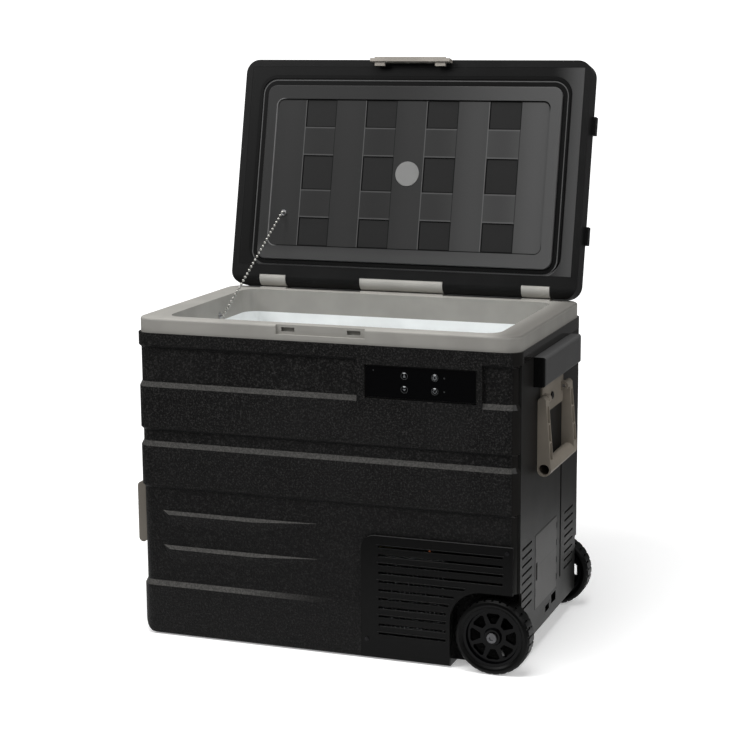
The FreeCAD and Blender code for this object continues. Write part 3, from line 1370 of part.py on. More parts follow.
def tow_brackets():
    """The two ears on the cabinet's left side that carry the tow handle."""
    ears = []
    for place, span in (("front", TOW_EAR), ("rear", mirrored_span(TOW_EAR))):
        ear = fused(
            f"tow_ear_{place}_body",
            rod(f"tow_ear_{place}_round", "y", TOW_AXIS, span, "tow_radius - 1.2"),
            block(f"tow_ear_{place}_root", ("tow_x", "sunk"), span, ("tow_pivot - 8", "tow_pivot + 1.5")),
        )
        bore = rod(f"tow_ear_{place}_bore", "y", TOW_AXIS, ("tow_front", "deep - tow_front"),
                   "pin_radius + pin_clearance")
        ears.append(cut(f"tow_ear_{place}", ear, bore))
    return keep("tow_brackets", grouped("tow_brackets", *ears))


def tow_pins():
    span = ("tow_front + 2", TOW_EAR[1] + " - 1")
    pins = [
        rod("tow_pin_front", "y", TOW_AXIS, span, "pin_radius"),
        rod("tow_pin_rear", "y", TOW_AXIS, mirrored_span(span), "pin_radius"),
    ]
    return keep("tow_pins", grouped("tow_pins", *pins))


GRILLE_SCREWS = [("grille_left + 9", "foot_round + 2"), ("grille_right - 9", "grille_top - 9")]


def front_grille():
    """The smooth lower panel of slats, cut by the wheel arch."""
    face = ("-proud", "grille_thick - proud")
    plate = rounded_edges(
        "grille_plate",
        block("grille_block", ("grille_left", "grille_right"), face, ("sunk", "grille_top")),
        "grille_radius",
        lambda edge: runs_along("y")(edge) and upper_left(edge),
    )
    slots = [arch("grille_arch", ("-20", "arch_deep"), "0.3")]
    lips = []
    for row in range(11):
        middle = f"slot_top - {row} * slot_pitch"
        rise = f"{middle} - slot_high / 2 - (arch_top - arch_radius)"
        near = f"(arch_radius + slot_arch_gap) ^ 2 - max(0; min({rise}; arch_radius + slot_arch_gap)) ^ 2"
        end = "slot_right" if row < 4 else f"min(slot_right; arch_left + arch_radius - sqrt({near}))"
        slots.append(block(f"grille_slot_{row}", ("slot_left", end), ("-10", "10"),
                           (f"{middle} - slot_high / 2", f"{middle} + slot_high / 2")))
        if row % 2 == 0:
            lips.append(block(f"grille_lip_{row}", ("slot_left - 3", f"{end} + 2"),
                              ("-proud - slot_lip", "-proud + 1"),
                              (f"{middle} + slot_high / 2", f"{middle} + slot_high / 2 + slot_lip")))
    for place, at in enumerate(GRILLE_SCREWS):
        slots.append(rod(f"grille_screw_seat_{place}", "y", at, ("-10", "10"), "screw_radius / 2 + 0.05"))
    return keep("front_grille", cut("front_grille", fused("grille_body", plate, *lips), *slots))


def upper_left(edge):
    """Picks the upright-panel edge at the grille's upper left corner."""
    centre = edge.CenterOfMass
    left = abs(centre.x - number("grille_left - origin_x")) < 0.01
    return left and abs(centre.z - number("grille_top - origin_z")) < 0.01


def front_screws():
    """Two cross-head screws that hold the grille panel."""
    screws = []
    for place, (x, z) in enumerate(GRILLE_SCREWS):
        shank = rod(f"grille_shank_{place}", "y", (x, z), ("-proud", "grille_thick - proud"),
                    "screw_radius / 2")
        head = rod(f"grille_head_{place}", "y", (x, z), ("-proud - 1.4", "-proud"), "screw_radius")
        depth = ("-proud - 2", "-proud - 0.6")
        cross = [
            block(f"grille_cross_level_{place}", (f"{x} - 1.7", f"{x} + 1.7"), depth,
                  (f"{z} - 0.4", f"{z} + 0.4")),
            block(f"grille_cross_up_{place}", (f"{x} - 0.4", f"{x} + 0.4"), depth,
                  (f"{z} - 1.7", f"{z} + 1.7")),
        ]
        screws.append(cut(f"grille_screw_{place}", fused(f"grille_screw_{place}_body", shank, head), *cross))
    return keep("grille_screws", grouped("grille_screws", *screws))


BUTTONS = {
    "up": ("button_left", "button_upper"),
    "down": ("button_left", "button_lower"),
    "mode": ("button_right", "button_upper"),
    "power": ("button_right", "button_lower"),
}
WINDOW_FACE = "window_thick - 0.5"
HOUSING_WALL = "window_thick + 1.5"


def button_holes(name, span):
    return [
        rod(f"{name}_{place}", "y", at, span, "button_radius + button_gap")
        for place, at in BUTTONS.items()
    ]


def display_bezel():
    """The display's housing, a closed tray behind the window with four bores for the buttons."""
    outside = rounded_block(
        "bezel_body", ("window_left - 1.7", "window_right + 1.7"), ("-0.5", "display_deep"),
        ("window_low - 2.2", "window_high + 2.2"), "5", axis="y")
    seat = rounded_block(
        "bezel_seat", ("window_left - 0.2", "window_right + 0.2"), ("-5", WINDOW_FACE),
        ("window_low - 0.2", "window_high + 0.2"), "4.2", axis="y")
    room = block("bezel_room", ("window_left + 2", "window_right - 2"), (HOUSING_WALL, "display_deep - 3"),
                 ("window_low + 1.5", "window_high - 1.5"))
    holes = button_holes("bezel_hole", ("0", HOUSING_WALL + " + 1"))
    return keep("display_bezel", cut("display_bezel", outside, seat, room, *holes))


def display_window():
    """The gloss black window with holes for the four buttons."""
    plate = rounded_block(
        "window_plate", ("window_left", "window_right"), ("-0.5", WINDOW_FACE),
        ("window_low", "window_high"), "4", axis="y")
    return keep("display_window", cut("display_window", plate, *button_holes("window_hole", ("-5", "5"))))


def button(place):
    """A round button with a flange that keeps it behind the housing wall."""
    at = BUTTONS[place]
    name = f"button_{place}"
    flange = f"{HOUSING_WALL} + 0.4"
    head = rod(name + "_head", "y", at, ("-0.5 - button_proud", flange), "button_radius")
    eased = rounded_edges(name + "_eased", head, "0.4", lies_at("y", "-0.5 - button_proud"))
    body = fused(
        name,
        eased,
        rod(name + "_flange", "y", at, (flange, f"{flange} + 1.5"), "button_radius + 1.2"),
        rod(name + "_stem", "y", at, (flange, "board_front - button_travel - 0.4"), "2.5"),
    )
    return keep(name, body)


def control_board():
    """The board behind the window, held by the housing's walls, with its display chip and switches."""
    y = ("board_front", "board_front + board_thick")
    plate = block("board_plate", ("window_left + 2", "window_right - 2"), y,
                  ("window_low + 1.5", "window_high - 1.5"))
    back = ("board_front + board_thick", "board_front + board_thick + 2.5")
    chips = [
        block("board_chip", ("window_left + 30", "window_left + 48"), back,
              ("window_low + 12", "window_low + 30")),
        block("board_relay", ("window_right - 40", "window_right - 22"), back,
              ("window_low + 14", "window_low + 26")),
        block("board_display", ("window_left + 8", "window_left + 46"),
              (HOUSING_WALL + " + 0.5", "board_front"), ("window_low + 10", "window_high - 10")),
    ]
    return keep("control_board", fused("control_board", plate, *chips))


WHEELS = {"front": ("-wheel_out", "wheel_wide - wheel_out"), "rear": None}
WHEELS["rear"] = mirrored_span(WHEELS["front"])


def wheel_body(name, place):
    """A body with its origin at a wheel's centre, so that its profiles turn about the axle."""
    body = doc.addObject("PartDesign::Body", name)
    middle = f"({WHEELS[place][0]} + {WHEELS[place][1]}) / 2"
    bind(body, "Placement.Base.x", "wheel_x - origin_x")
    bind(body, "Placement.Base.y", f"{middle} - origin_y")
    bind(body, "Placement.Base.z", "wheel_z - origin_z")
    return body


def wheel_hub(place):
    """A spoked hub: boss, web with eight openings, and the band that carries the tyre."""
    body = wheel_body(f"{place}_hub_body", place)
    outward = "-1" if place == "front" else "1"
    half = "wheel_wide / 2"
    bore = "axle_radius + pin_clearance"
    dish = f"{outward} * 4"
    corners = [
        (f"-({half} - 4)", bore),
        (f"{half} - 4", bore),
        (f"{half} - 4", "hub_boss"),
        (f"hub_web + {dish}", "hub_boss + 2"),
        (f"hub_web + {dish}", "hub_band"),
        (f"{half} - 4", "hub_band + 1.5"),
        (f"{half} - 4", "rim_of_wheel"),
        (f"-({half} - 4)", "rim_of_wheel"),
        (f"-({half} - 4)", "hub_band + 1.5"),
        (f"{dish} - hub_web", "hub_band"),
        (f"{dish} - hub_web", "hub_boss + 2"),
        (f"-({half} - 4)", "hub_boss"),
    ]
    solid, axis = turned(body, "Revolution", f"{place}_hub_profile_turned", "y", ("0", "0"), corners)
    opening = new_sketch(body, f"{place}_hub_opening", "XZ", level=f"-({half})")
    wide = "opening_high * 0.3"
    draw_polygon(opening, [
        (f"-{wide} * 0.35", "opening_low"),
        (f"{wide} * 0.35", "opening_low"),
        (wide, "opening_high - 3"),
        (f"{wide} - 3", "opening_high"),
        (f"3 - {wide}", "opening_high"),
        (f"-{wide}", "opening_high - 3"),
    ])
    gap = pocket(body, f"{place}_hub_gap", opening, "wheel_wide")
    ringed(body, f"{place}_hub_gaps", [gap], axis, 8)
    return keep(f"{place}_wheel_hub", grouped(f"{place}_wheel_hub", body))


def wheel_tyre(place):
    """A tyre with a round shoulder, a bead on each side and cross grooves in the tread."""
    body = wheel_body(f"{place}_tyre_body", place)
    half = "wheel_wide / 2"
    inner = "rim_of_wheel + 0.05"
    corners = [
        (f"-({half} - 3.5)", inner),
        (f"{half} - 3.5", inner),
        (f"{half} - 1", "rim_of_wheel + 3"),
        (half, "rim_of_wheel + 6"),
        (f"{half} - 1", "wheel_radius - 3"),
        (f"{half} - 5", "wheel_radius"),
        (f"-({half} - 5)", "wheel_radius"),
        (f"-({half} - 1)", "wheel_radius - 3"),
        (f"-({half})", "rim_of_wheel + 6"),
        (f"-({half} - 1)", "rim_of_wheel + 3"),
    ]
    solid, axis = turned(body, "Revolution", f"{place}_tyre_profile_turned", "y", ("0", "0"), corners)
    grooves = []
    for side, span in (("outer", f"-({half} + 1)"), ("inner", "1.5")):
        groove = new_sketch(body, f"{place}_{side}_groove_outline", "XZ", level=span)
        draw_rectangle(groove, ("-1.6", "1.6"), ("wheel_radius - tread_sink", "wheel_radius + 2"))
        grooves.append(pocket(body, f"{place}_{side}_groove", groove, f"{half} - 0.5"))
    ringed(body, f"{place}_grooves", grooves, axis, 30)
    return keep(f"{place}_wheel_tyre", grouped(f"{place}_wheel_tyre", body))


WHEEL_AXIS = ("wheel_x", "wheel_z")
HUB_FACE = "4 - wheel_out"
BOLT_GAP = "0.3"


def axle():
    """One steel axle through both hubs, fixed to the cabinet."""
    span = (f"{HUB_FACE} - {BOLT_GAP}", f"deep - ({HUB_FACE} - {BOLT_GAP})")
    return keep("axle", grouped("axle", rod("axle_rod", "y", WHEEL_AXIS, span, "axle_radius")))


def axle_bolts():
    """The bolt heads that keep the wheels on, each with a six-sided recess."""
    bolts = []
    span = ("-wheel_out", f"{HUB_FACE} - {BOLT_GAP}")
    for place in ("front", "rear"):
        own = span if place == "front" else mirrored_span(span)
        face = own[0] if place == "front" else own[1]
        head = rod(f"bolt_{place}", "y", WHEEL_AXIS, own, "bolt_radius")
        eased = rounded_edges(f"bolt_{place}_eased", head, "0.8", lies_at("y", face))
        corners = [(f"wheel_x + 4 * cos({60 * side})",
                    f"wheel_z + 4 * sin({60 * side})") for side in range(6)]
        recess = profile_bar(f"bolt_{place}_recess", "XZ", corners, (f"{face} - 1.6", f"{face} + 1.6"))
        bolts.append(cut(f"axle_bolt_{place}", eased, recess))
    return keep("axle_bolts", grouped("axle_bolts", *bolts))


def axle_brackets():
    """The bushes that carry the axle on the walls of the wheel arches."""
    bushes = []
    tube = (f"wheel_wide - wheel_out - 4 + {BOLT_GAP} + 0.1", "arch_deep")
    for place in ("front", "rear"):
        own = tube if place == "front" else mirrored_span(tube)
        flange = ("arch_deep - 3", "arch_deep") if place == "front" else mirrored_span(("arch_deep - 3",
                                                                                        "arch_deep"))
        body = fused(
            f"bush_{place}_body",
            rod(f"bush_{place}_tube", "y", WHEEL_AXIS, own, "bush_radius"),
            rod(f"bush_{place}_flange", "y", WHEEL_AXIS, flange, "2 * bush_radius"),
        )
        bore = rod(f"bush_{place}_bore", "y", WHEEL_AXIS, ("0", "deep"), "axle_radius + 0.02")
        bushes.append(cut(f"bush_{place}", body, bore))
    return keep("axle_brackets", grouped("axle_brackets", *bushes))


def feet():
    """Two flat rubber feet under the left end."""
    pads = [
        rod(f"foot_{place}", "z", ("foot_x", y), ("origin_z", "0"), "foot_radius")
        for place, y in (("front", "foot_y"), ("rear", "deep - foot_y"))
    ]
    return keep("feet", grouped("feet", *pads))


def base_tray():
    """The sheet under the cooling unit, narrower between the wheel arches."""
    z = ("shell_wall", "tray_top")
    wide = block("tray_wide", ("bay_left + 5", "arch_left - shell_wall - 5"),
                 ("shell_wall + 3", "deep - shell_wall - 3"), z)
    middle = block("tray_middle", ("bay_left + 5", "compressor_x + 1.5 * compressor_radius"),
                   ("arch_deep + shell_wall + 5", "deep - arch_deep - shell_wall - 5"), z)
    return keep("base_tray", fused("base_tray", wide, middle))


def compressor():
    """A domed steel can on a square foot plate, with its terminal cover."""
    body = new_body("compressor_can")
    foot = "tray_top + mount_high + plate_thick"
    top = f"tray_top + mount_high + compressor_high"
    corners = [
        (foot, "0"),
        (foot, "compressor_radius - 8"),
        (f"{foot} + 6", "compressor_radius - 2"),
        (f"{foot} + 14", "compressor_radius"),
        (f"{top} - 28", "compressor_radius"),
        (f"{top} - 16", "compressor_radius - 4"),
        (f"{top} - 6", "compressor_radius - 14"),
        (top, "compressor_radius - 25"),
        (top, "0"),
    ]
    turned(body, "Revolution", "compressor_turned", "z", ("compressor_x", "compressor_y"), corners)
    half = "mount_spread / 2 + mount_radius"
    plate = rounded_block(
        "compressor_plate", (f"compressor_x - ({half})", f"compressor_x + {half}"),
        (f"compressor_y - ({half})", f"compressor_y + {half}"), (f"{foot} - plate_thick", foot), "8")
    cover = block("compressor_cover", ("compressor_x - compressor_radius - 8",
                                       "compressor_x - compressor_radius + 12"),
                  ("compressor_y - 20", "compressor_y + 20"), (f"{foot} + 22", f"{foot} + 62"))
    return keep("compressor", fused("compressor", body, plate, cover))


def compressor_mounts():
    """Four rubber mounts under the compressor's foot plate."""
    mounts = []
    for x_way in (-1, 1):
        for y_way in (-1, 1):
            at = (f"compressor_x + ({x_way}) * mount_spread / 2",
                  f"compressor_y + ({y_way}) * mount_spread / 2")
            mounts.append(rod(f"mount_{len(mounts)}", "z", at, ("tray_top", "tray_top + mount_high"),
                              "mount_radius"))
    return keep("compressor_mounts", grouped("compressor_mounts", *mounts))


CONDENSER_X = ("condenser_left", "condenser_left + condenser_wide")
CONDENSER_Y = ("condenser_front", "condenser_front + condenser_deep")
CONDENSER_Z = ("tray_top", "tray_top + condenser_high")


def condenser():
    """Upright fins between two end plates, on level tubes."""
    parts = []
    for fin in range(17):
        left = f"condenser_left + {fin} * (condenser_wide - 1.5) / 16"
        high = CONDENSER_Z if fin in (0, 16) else (CONDENSER_Z[0] + " + 4", CONDENSER_Z[1] + " - 4")
        parts.append(block(f"fin_{fin}", (left, f"{left} + 1.5"), CONDENSER_Y, high))
    for row in range(6):
        level = f"tray_top + (0.5 + {row}) * condenser_high / 6"
        for side in ("0.28", "0.72"):
            at = (f"condenser_front + {side} * condenser_deep", level)
            parts.append(rod(f"tube_{row}_{side[2:]}", "x", at, CONDENSER_X, "pipe_radius + 1"))
    parts.append(block("condenser_header", CONDENSER_X, CONDENSER_Y,
                       (CONDENSER_Z[1] + " - 5", CONDENSER_Z[1])))
    return keep("condenser", fused("condenser", *parts))


FAN_AXIS = ("condenser_left + condenser_wide / 2", "tray_top + condenser_wide / 2")
FAN_Y = ("condenser_front + condenser_deep", "condenser_front + condenser_deep + fan_deep")


def fan_frame():
    """The square fan frame with four struts, the motor boss and its shaft."""
    plate = rounded_block("fan_plate", CONDENSER_X, FAN_Y, ("tray_top", "tray_top + condenser_wide"), "6",
                          axis="y")
    ring = cut("fan_ring", plate, rod("fan_hole", "y", FAN_AXIS, (FAN_Y[0] + " - 1", FAN_Y[1] + " + 1"),
                                      "fan_bore"))
    back = (FAN_Y[1] + " - 5", FAN_Y[1])
    x, z = FAN_AXIS
    parts = [
        rod("fan_boss", "y", FAN_AXIS, back, "fan_hub"),
        rod("fan_axis_rod", "y", FAN_AXIS, (FAN_Y[0] + " + 8", FAN_Y[1]), "fan_shaft"),
        block("fan_strut_level", (f"{x} - fan_bore - 1", f"{x} + fan_bore + 1"), back,
              (f"{z} - 3", f"{z} + 3")),
        block("fan_strut_upright", (f"{x} - 3", f"{x} + 3"), back,
              (f"{z} - fan_bore - 1", f"{z} + fan_bore + 1")),
    ]
    return keep("fan_frame", fused("fan_frame", ring, *parts))


def fan_rotor():
    """Seven tilted blades on a hub that turns on the frame's shaft."""
    hub = rod("rotor_hub", "y", FAN_AXIS, (FAN_Y[0] + " + 5", FAN_Y[1] + " - 5.5"), "fan_hub - 1")
    bore = rod("rotor_bore", "y", FAN_AXIS, (FAN_Y[0] + " + 7.6", FAN_Y[1]), "fan_shaft + pin_clearance")
    centre = FreeCAD.Vector(
        number(f"{FAN_AXIS[0]} - origin_x"),
        number(f"{FAN_Y[0]} + 12.2 - origin_y"),
        number(f"{FAN_AXIS[1]} - origin_z"),
    )
    wide, thick = number("blade_wide"), number("blade_thick")
    blades = []
    for place in range(7):
        blade = doc.addObject("Part::Box", f"blade_{place}")
        bind(blade, "Length", "blade_wide")
        bind(blade, "Width", "blade_thick")
        bind(blade, "Height", "fan_radius - fan_hub + 1")
        turn = FreeCAD.Rotation(FreeCAD.Vector(0, 1, 0), 360 / 7 * place)
        tilt = FreeCAD.Rotation(FreeCAD.Vector(0, 0, 1), 32)
        start = FreeCAD.Vector(-wide / 2, -thick / 2, number("fan_hub - 3"))
        own = FreeCAD.Placement(FreeCAD.Vector(), tilt).multiply(FreeCAD.Placement(start,
                                                                                   FreeCAD.Rotation()))
        blade.Placement = FreeCAD.Placement(centre, turn).multiply(own)
        blades.append(blade)
    return keep("fan_rotor", cut("fan_rotor", fused("rotor_body", hub, *blades), bore))


def control_box():
    """The electronics box behind the compressor, with cooling fins on top."""
    x = ("bay_left + 24", "bay_left + 24 + electronics_wide")
    y = ("deep - shell_wall - 3 - electronics_deep", "deep - shell_wall - 3")
    top = "tray_top + electronics_high"
    parts = [rounded_block("electronics", x, y, ("tray_top", f"{top} - 8"), "5")]
    for fin in range(10):
        left = f"{x[0]} + 8 + {fin} * (electronics_wide - 18) / 9"
        parts.append(block(f"box_fin_{fin}", (left, f"{left} + 2"), (y[0] + " + 6", y[1] + " - 6"),
                           (f"{top} - 9", top)))
    return keep("control_box", fused("control_box", *parts))


def ball(name, x, y, z, radius):
    sphere = doc.addObject("Part::Sphere", name)
    bind(sphere, "Radius", radius)
    for letter, place in (("x", x), ("y", y), ("z", z)):
        bind(sphere, "Placement.Base." + letter, f"({place}) - origin_{letter}")
    return sphere


def refrigerant_lines():
    """The pipe from the compressor to the condenser, and the one up into the foam."""
    start = "tray_top + mount_high + compressor_high"
    over, back, front = "compressor_x - 6", "compressor_y - 14", "condenser_front + condenser_deep / 2"
    discharge = fused(
        "discharge_line",
        rod("line_up", "z", (over, back), (start, "pipe_level"), "pipe_radius"),
        ball("line_elbow_back", over, back, "pipe_level", "pipe_radius"),
        rod("line_forward", "y", (over, "pipe_level"), (front, back), "pipe_radius"),
        ball("line_elbow_front", over, front, "pipe_level", "pipe_radius"),
        rod("line_down", "z", (over, front), (CONDENSER_Z[1], "pipe_level"), "pipe_radius"),
    )
    suction = rod("suction_line", "z", PIPE_IN, (start, "bay_top + pipe_into_foam"), "pipe_radius")
    return keep("refrigerant_lines", grouped("refrigerant_lines", discharge, suction))


def build():
    """Makes every sub-part from the sheet's sizes."""
    for make in (
        outer_shell, rim_frame, liner, evaporator, insulation_foam, hinge_pins, lid_cover, lid_inner_panel,
        lid_gasket, lid_foam, foam_plug, latch_lever, latch_pin, lid_chain_anchor, rim_chain_anchor, lid_chain,
        right_side_panel, battery_door, door_hinge_pins, battery_tray, inlet_contacts, handle_housing,
        handle_bracket, bracket_screw, handle_pins, carry_handle, tow_handle, tow_brackets, tow_pins,
        front_grille, front_screws, display_bezel, display_window, control_board, axle, axle_bolts,
        axle_brackets, feet, base_tray, compressor, compressor_mounts, condenser, fan_frame, fan_rotor,
        control_box, refrigerant_lines,
    ):
        make()
    for place in HINGES:
        hinge_block(place)
    for kind in CONTACTS:
        inlet(kind)
    for place in BUTTONS:
        button(place)
    for place in WHEELS:
        wheel_hub(place)
        wheel_tyre(place)
    doc.recompute()


def check():
    """Stops if any feature is in error or any sub-part is empty or not a sound solid."""
    for thing in doc.Objects:
        if "Invalid" in thing.State or "Error" in thing.State:
            raise RuntimeError(f"{thing.Name} is in error: {thing.State}")
    for label, thing in NODES.items():
        shape = thing.Shape
        if shape.isNull() or not shape.isValid() or not shape.Solids:
            raise RuntimeError(f"{label} has no sound solid")


fill_sheet()
build()
check()
os.makedirs("parts", exist_ok=True)
for label, thing in NODES.items():
    thing.Shape.exportStep(f"parts/{label}.step")
print(len(NODES), "parts")
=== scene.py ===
"""A compressor cooler fridge with its lid open: finishes, chain, display and wheel details, light and camera.

Every piece is placed in metres in the CAD's own frame. Sizes that belong to the object are read from the
CAD nodes' boxes, and the materials take their patterns from object coordinates, so they stay put when a
body moves.
"""

import math

import bmesh
import bpy
from mathutils import Matrix, Vector


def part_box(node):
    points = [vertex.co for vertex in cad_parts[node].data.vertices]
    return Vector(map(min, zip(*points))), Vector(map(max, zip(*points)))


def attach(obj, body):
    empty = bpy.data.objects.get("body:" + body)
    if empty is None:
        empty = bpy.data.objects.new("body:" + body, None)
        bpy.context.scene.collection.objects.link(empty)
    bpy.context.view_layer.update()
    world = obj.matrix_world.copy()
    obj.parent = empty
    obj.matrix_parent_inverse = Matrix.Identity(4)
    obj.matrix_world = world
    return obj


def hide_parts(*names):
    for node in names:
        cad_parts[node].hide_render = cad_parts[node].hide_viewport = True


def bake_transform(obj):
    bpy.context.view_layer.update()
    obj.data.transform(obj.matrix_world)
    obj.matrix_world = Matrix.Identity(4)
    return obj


MM = 0.001
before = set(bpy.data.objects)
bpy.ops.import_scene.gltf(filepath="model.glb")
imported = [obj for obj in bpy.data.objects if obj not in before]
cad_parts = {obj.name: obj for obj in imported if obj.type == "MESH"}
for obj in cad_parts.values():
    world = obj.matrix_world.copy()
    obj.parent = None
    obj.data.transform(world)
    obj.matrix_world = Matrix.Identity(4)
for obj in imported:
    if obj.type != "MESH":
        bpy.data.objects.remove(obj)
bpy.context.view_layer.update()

# Places on the cabinet that the finishes follow, in the CAD's frame.
RIM_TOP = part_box("rim_frame")[1].z
SATIN_FROM = 299.5 * MM
SATIN_FULL = 302.5 * MM
SHORT_LEDGE_TOP = 110 * MM
SHORT_LEDGE_END = -170 * MM
SHORT_LEDGE_FADE = 190 * MM
STEP_FRONT = -221.4 * MM
STEP_HEIGHT = 215.2 * MM
STEP_SLOPE = -0.0358
STEP_SOFT = 3 * MM
PANEL_FRONT = -222 * MM
MOUTH_HALF = 268 * MM
MOUTH_FRONT = -205 * MM
MOUTH_BACK = 100 * MM
MOUTH_SOFT = 6 * MM

# Marks on the battery door, from its own edges.
DOOR_GAP = 2.6 * MM
TAB_REACH = 6.4 * MM
TAB_HIGH = 13 * MM
TAB_LOW_RISE = 20 * MM
TAB_TOP_DROP = 35 * MM
NOTCH_FIRST = 10 * MM
NOTCH_PITCH = 28.5 * MM
NOTCH_HIGH = 12.2 * MM
NOTCH_REACH = 7 * MM
NOTCH_MARGIN = 9 * MM
CREASE_RISE = 66 * MM
CREASE_HIGH = 1.5 * MM
DOOR_SOFT = 0.4 * MM

# The lid: its swing, and its panel measured across and back from the cabinet's front with the lid shut.
OPEN_ANGLE = 103.4
HINGE_BACK = 369.1 * MM
SQUARE_FIRST = -161.3 * MM
SQUARE_PITCH = 109.7 * MM
SQUARE_WIDE = 55 * MM
SQUARE_ROWS = ((60 * MM, 108 * MM), (157.5 * MM, 216.5 * MM), (265.3 * MM, 314 * MM))
PANEL_MIDDLE = (0.25 * MM, 187.5 * MM)
FIELD_HALF = (244 * MM, 127.5 * MM)
FIELD_CORNER = 12 * MM
RAISED_HALF = (263 * MM, 151.5 * MM)
RAISED_CORNER = 16 * MM
BORDER_OUT = 12 * MM
LIP_OUT = (8.2 * MM, 9.8 * MM)

# The bead chain.
BEAD_RADIUS = 2.25 * MM
BEAD_SHOWN = 1.12
BEAD_COUNT = 31
WIRE_RADIUS = 0.45 * MM

# The display's buttons, and their print: rings as inner and outer radius, and outlines in millimetres from
# the button's centre.
PLACES = ("up", "down", "mode", "power")
PRINT_LIFT = 0.12 * MM
GLEAM_LIFT = 1.4 * PRINT_LIFT
FAINT_RING = (4.9 * MM, 5.5 * MM)
MODE_ARC = (3.9 * MM, 4.4 * MM)
GLEAM_ARC = (3.6 * MM, 5.2 * MM)
WHEEL_RING = (1.7 * MM, 3.1 * MM)
POWER_RING = (2.1 * MM, 3.1 * MM)
ARROW_UP = ((-1.9, -2.4), (1.9, -2.4), (1.5, -0.2), (0, 2.6), (-1.5, -0.2))
ARROW_DOWN = ((-2.6, 1.1), (0, -2.6), (2.6, 1.1))
POWER_BAR = ((-0.5, 0.8), (0.5, 0.8), (0.5, 4), (-0.5, 4))
SPOKE_COUNT = 8
SPOKE = ((-0.18, 3), (0.18, 3), (0.13, 3.9), (-0.13, 3.9))
LAMP_ASIDE = 7.5 * MM
LAMP_HOLE = 0.3 * MM
CORNER_LAMP_IN = 12 * MM
CORNER_LAMP_DOWN = 6 * MM

# Edge rounding of the moulded pieces, in millimetres.
EASED = {
    0.9: ("rim_frame",),
    0.8: ("hinge_block_left", "hinge_block_centre", "hinge_block_right", "lid_cover"),
    0.6: ("carry_handle",),
    0.5: ("latch_lever", "handle_bracket", "front_wheel_hub", "rear_wheel_hub", "front_wheel_tyre",
          "rear_wheel_tyre"),
    0.4: ("front_grille", "display_bezel"),
}
EASED_ANGLE = 38

# Light: name, place, aim, size in metres and power in watts.
LIGHTS = (
    ("key", (-2.3, -2.0, 2.9), (0, 0, 0.4), 1.6, 74),
    ("right", (2.6, -0.8, 1.9), (0.3, 0, 0.5), 1.4, 26),
    ("top", (0, -0.6, 3.0), (0, 0, 0.5), 2.2, 74),
)
FLOOR_RADIUS = 4
FLOOR_FADE = (1.0, 0.62)
FLOOR_GLOW = 0.3
SURROUND = 0.16
SURROUND_SEEN = 1.3

# The photograph's camera: place in metres, turns in radians, lens and sensor in millimetres.
EYE = (1.04145, -2.85305, 0.9882)
YAW = 0.354
PITCH = 0.1869
ROLL = -0.0074
LENS = 92.05
SENSOR = 36

# How matt plastic mirrors, and the share of a noise field over which two tones mix.
MATT = 0.09
PATCHES = (0.3, 0.7)
UPWARD = (0.3, 0.7)

# Colours, as seen in the photograph under its soft white light.
SHELL = (9, 9, 9)
# Painted highlights in small specks on the front.
SHELL_PAINTED_GLINT = (62, 61, 60)
SHELL_LIGHTER_PATCH = (34, 34, 34)
# Painted light on upward ledges and edges.
LEDGE_PAINTED_LIGHT = (80, 79, 77)
# Painted shade under the bands.
BROW_PAINTED_SHADE = (6, 6, 6)
SIDE = (30, 29, 28)
# Painted light on the side below its slanting step, on the panel and on the battery door.
SIDE_LOW_PAINTED_LIGHT = (28, 28, 27)
DOOR_PAINTED_LIGHT = (56, 55, 54)
SHADE_LINE = (6, 6, 6)
GRILLE = (4, 4, 4)
# Painted highlight on the grille's upward edges.
GRILLE_EDGE_HIGHLIGHT = (58, 58, 58)
RIM = (155, 153, 148)
# Painted shade inside the mouth and on the right ledge of the rim.
COLLAR_PAINTED_SHADE = (130, 129, 126)
RIM_RIGHT_PAINTED_SHADE = (108, 106, 102)
HANDLE = (128, 121, 111)
LATCH = (148, 143, 136)
HINGE = (172, 170, 165)
HOUSING = (74, 74, 74)
HOUSING_FRONT_SHADE = (12, 12, 12)
# The handles' warm grey, darkened as painted shade on the tow handle.
TOW_PAINTED_SHADE = (112, 107, 100)
LINER = (238, 241, 241)
LID = (24, 24, 24)
LID_FIELD = (49, 49, 49)
# Painted light and shade on the lid's panel: its lighter right and frame, the squares' shade, edge highlights
# and shade lines, the border's lighter right and the gleam.
LID_FIELD_RIGHT_LIGHT = (92, 92, 92)
LID_FRAME_PAINTED_LIGHT = (78, 78, 78)
LID_SQUARE_SHADE = (38, 38, 38)
LID_EDGE_HIGHLIGHT = (150, 150, 150)
LID_BORDER = (20, 20, 20)
LID_BORDER_RIGHT_LIGHT = (70, 70, 70)
LID_LINE_SHADE = (6, 6, 6)
LID_GLEAM = (120, 120, 120)
GASKET = (9, 9, 9)
GASKET_LIP_HIGHLIGHT = (110, 110, 110)
PLUG = (126, 126, 125)
STEEL = (176, 176, 178)
ALUMINIUM = (196, 197, 199)
BRASS = (196, 160, 90)
COPPER = (184, 110, 74)
ZINC = (150, 150, 150)
BOLT = (84, 84, 86)
SCREW = (40, 40, 41)
BEAD = (178, 176, 171)
WIRE_PAINTED_SHADE = (30, 30, 30)
DISPLAY = (5, 5, 6)
ICON_DIM = (70, 71, 72)
ICON_PLAIN = (104, 106, 108)
ICON_HIGHLIGHT = (196, 198, 200)
LAMP = (58, 60, 60)
TYRE = (2, 2, 2)
HUB = (3, 3, 4)
FOAM = (226, 214, 178)
BOARD = (30, 90, 50)
COMPRESSOR = (26, 26, 27)
FLOOR = (252, 252, 252)


def linear(colour):
    """A screen colour, 0 to 255, as the linear light that a shader works in."""
    values = []
    for part in colour:
        share = part / 255
        values.append(share / 12.92 if share <= 0.04045 else ((share + 0.055) / 1.055) ** 2.4)
    return (*values, 1)


def toned(colour, share):
    """The same colour, darker or lighter by a share."""
    return tuple(min(255, part * share) for part in colour)


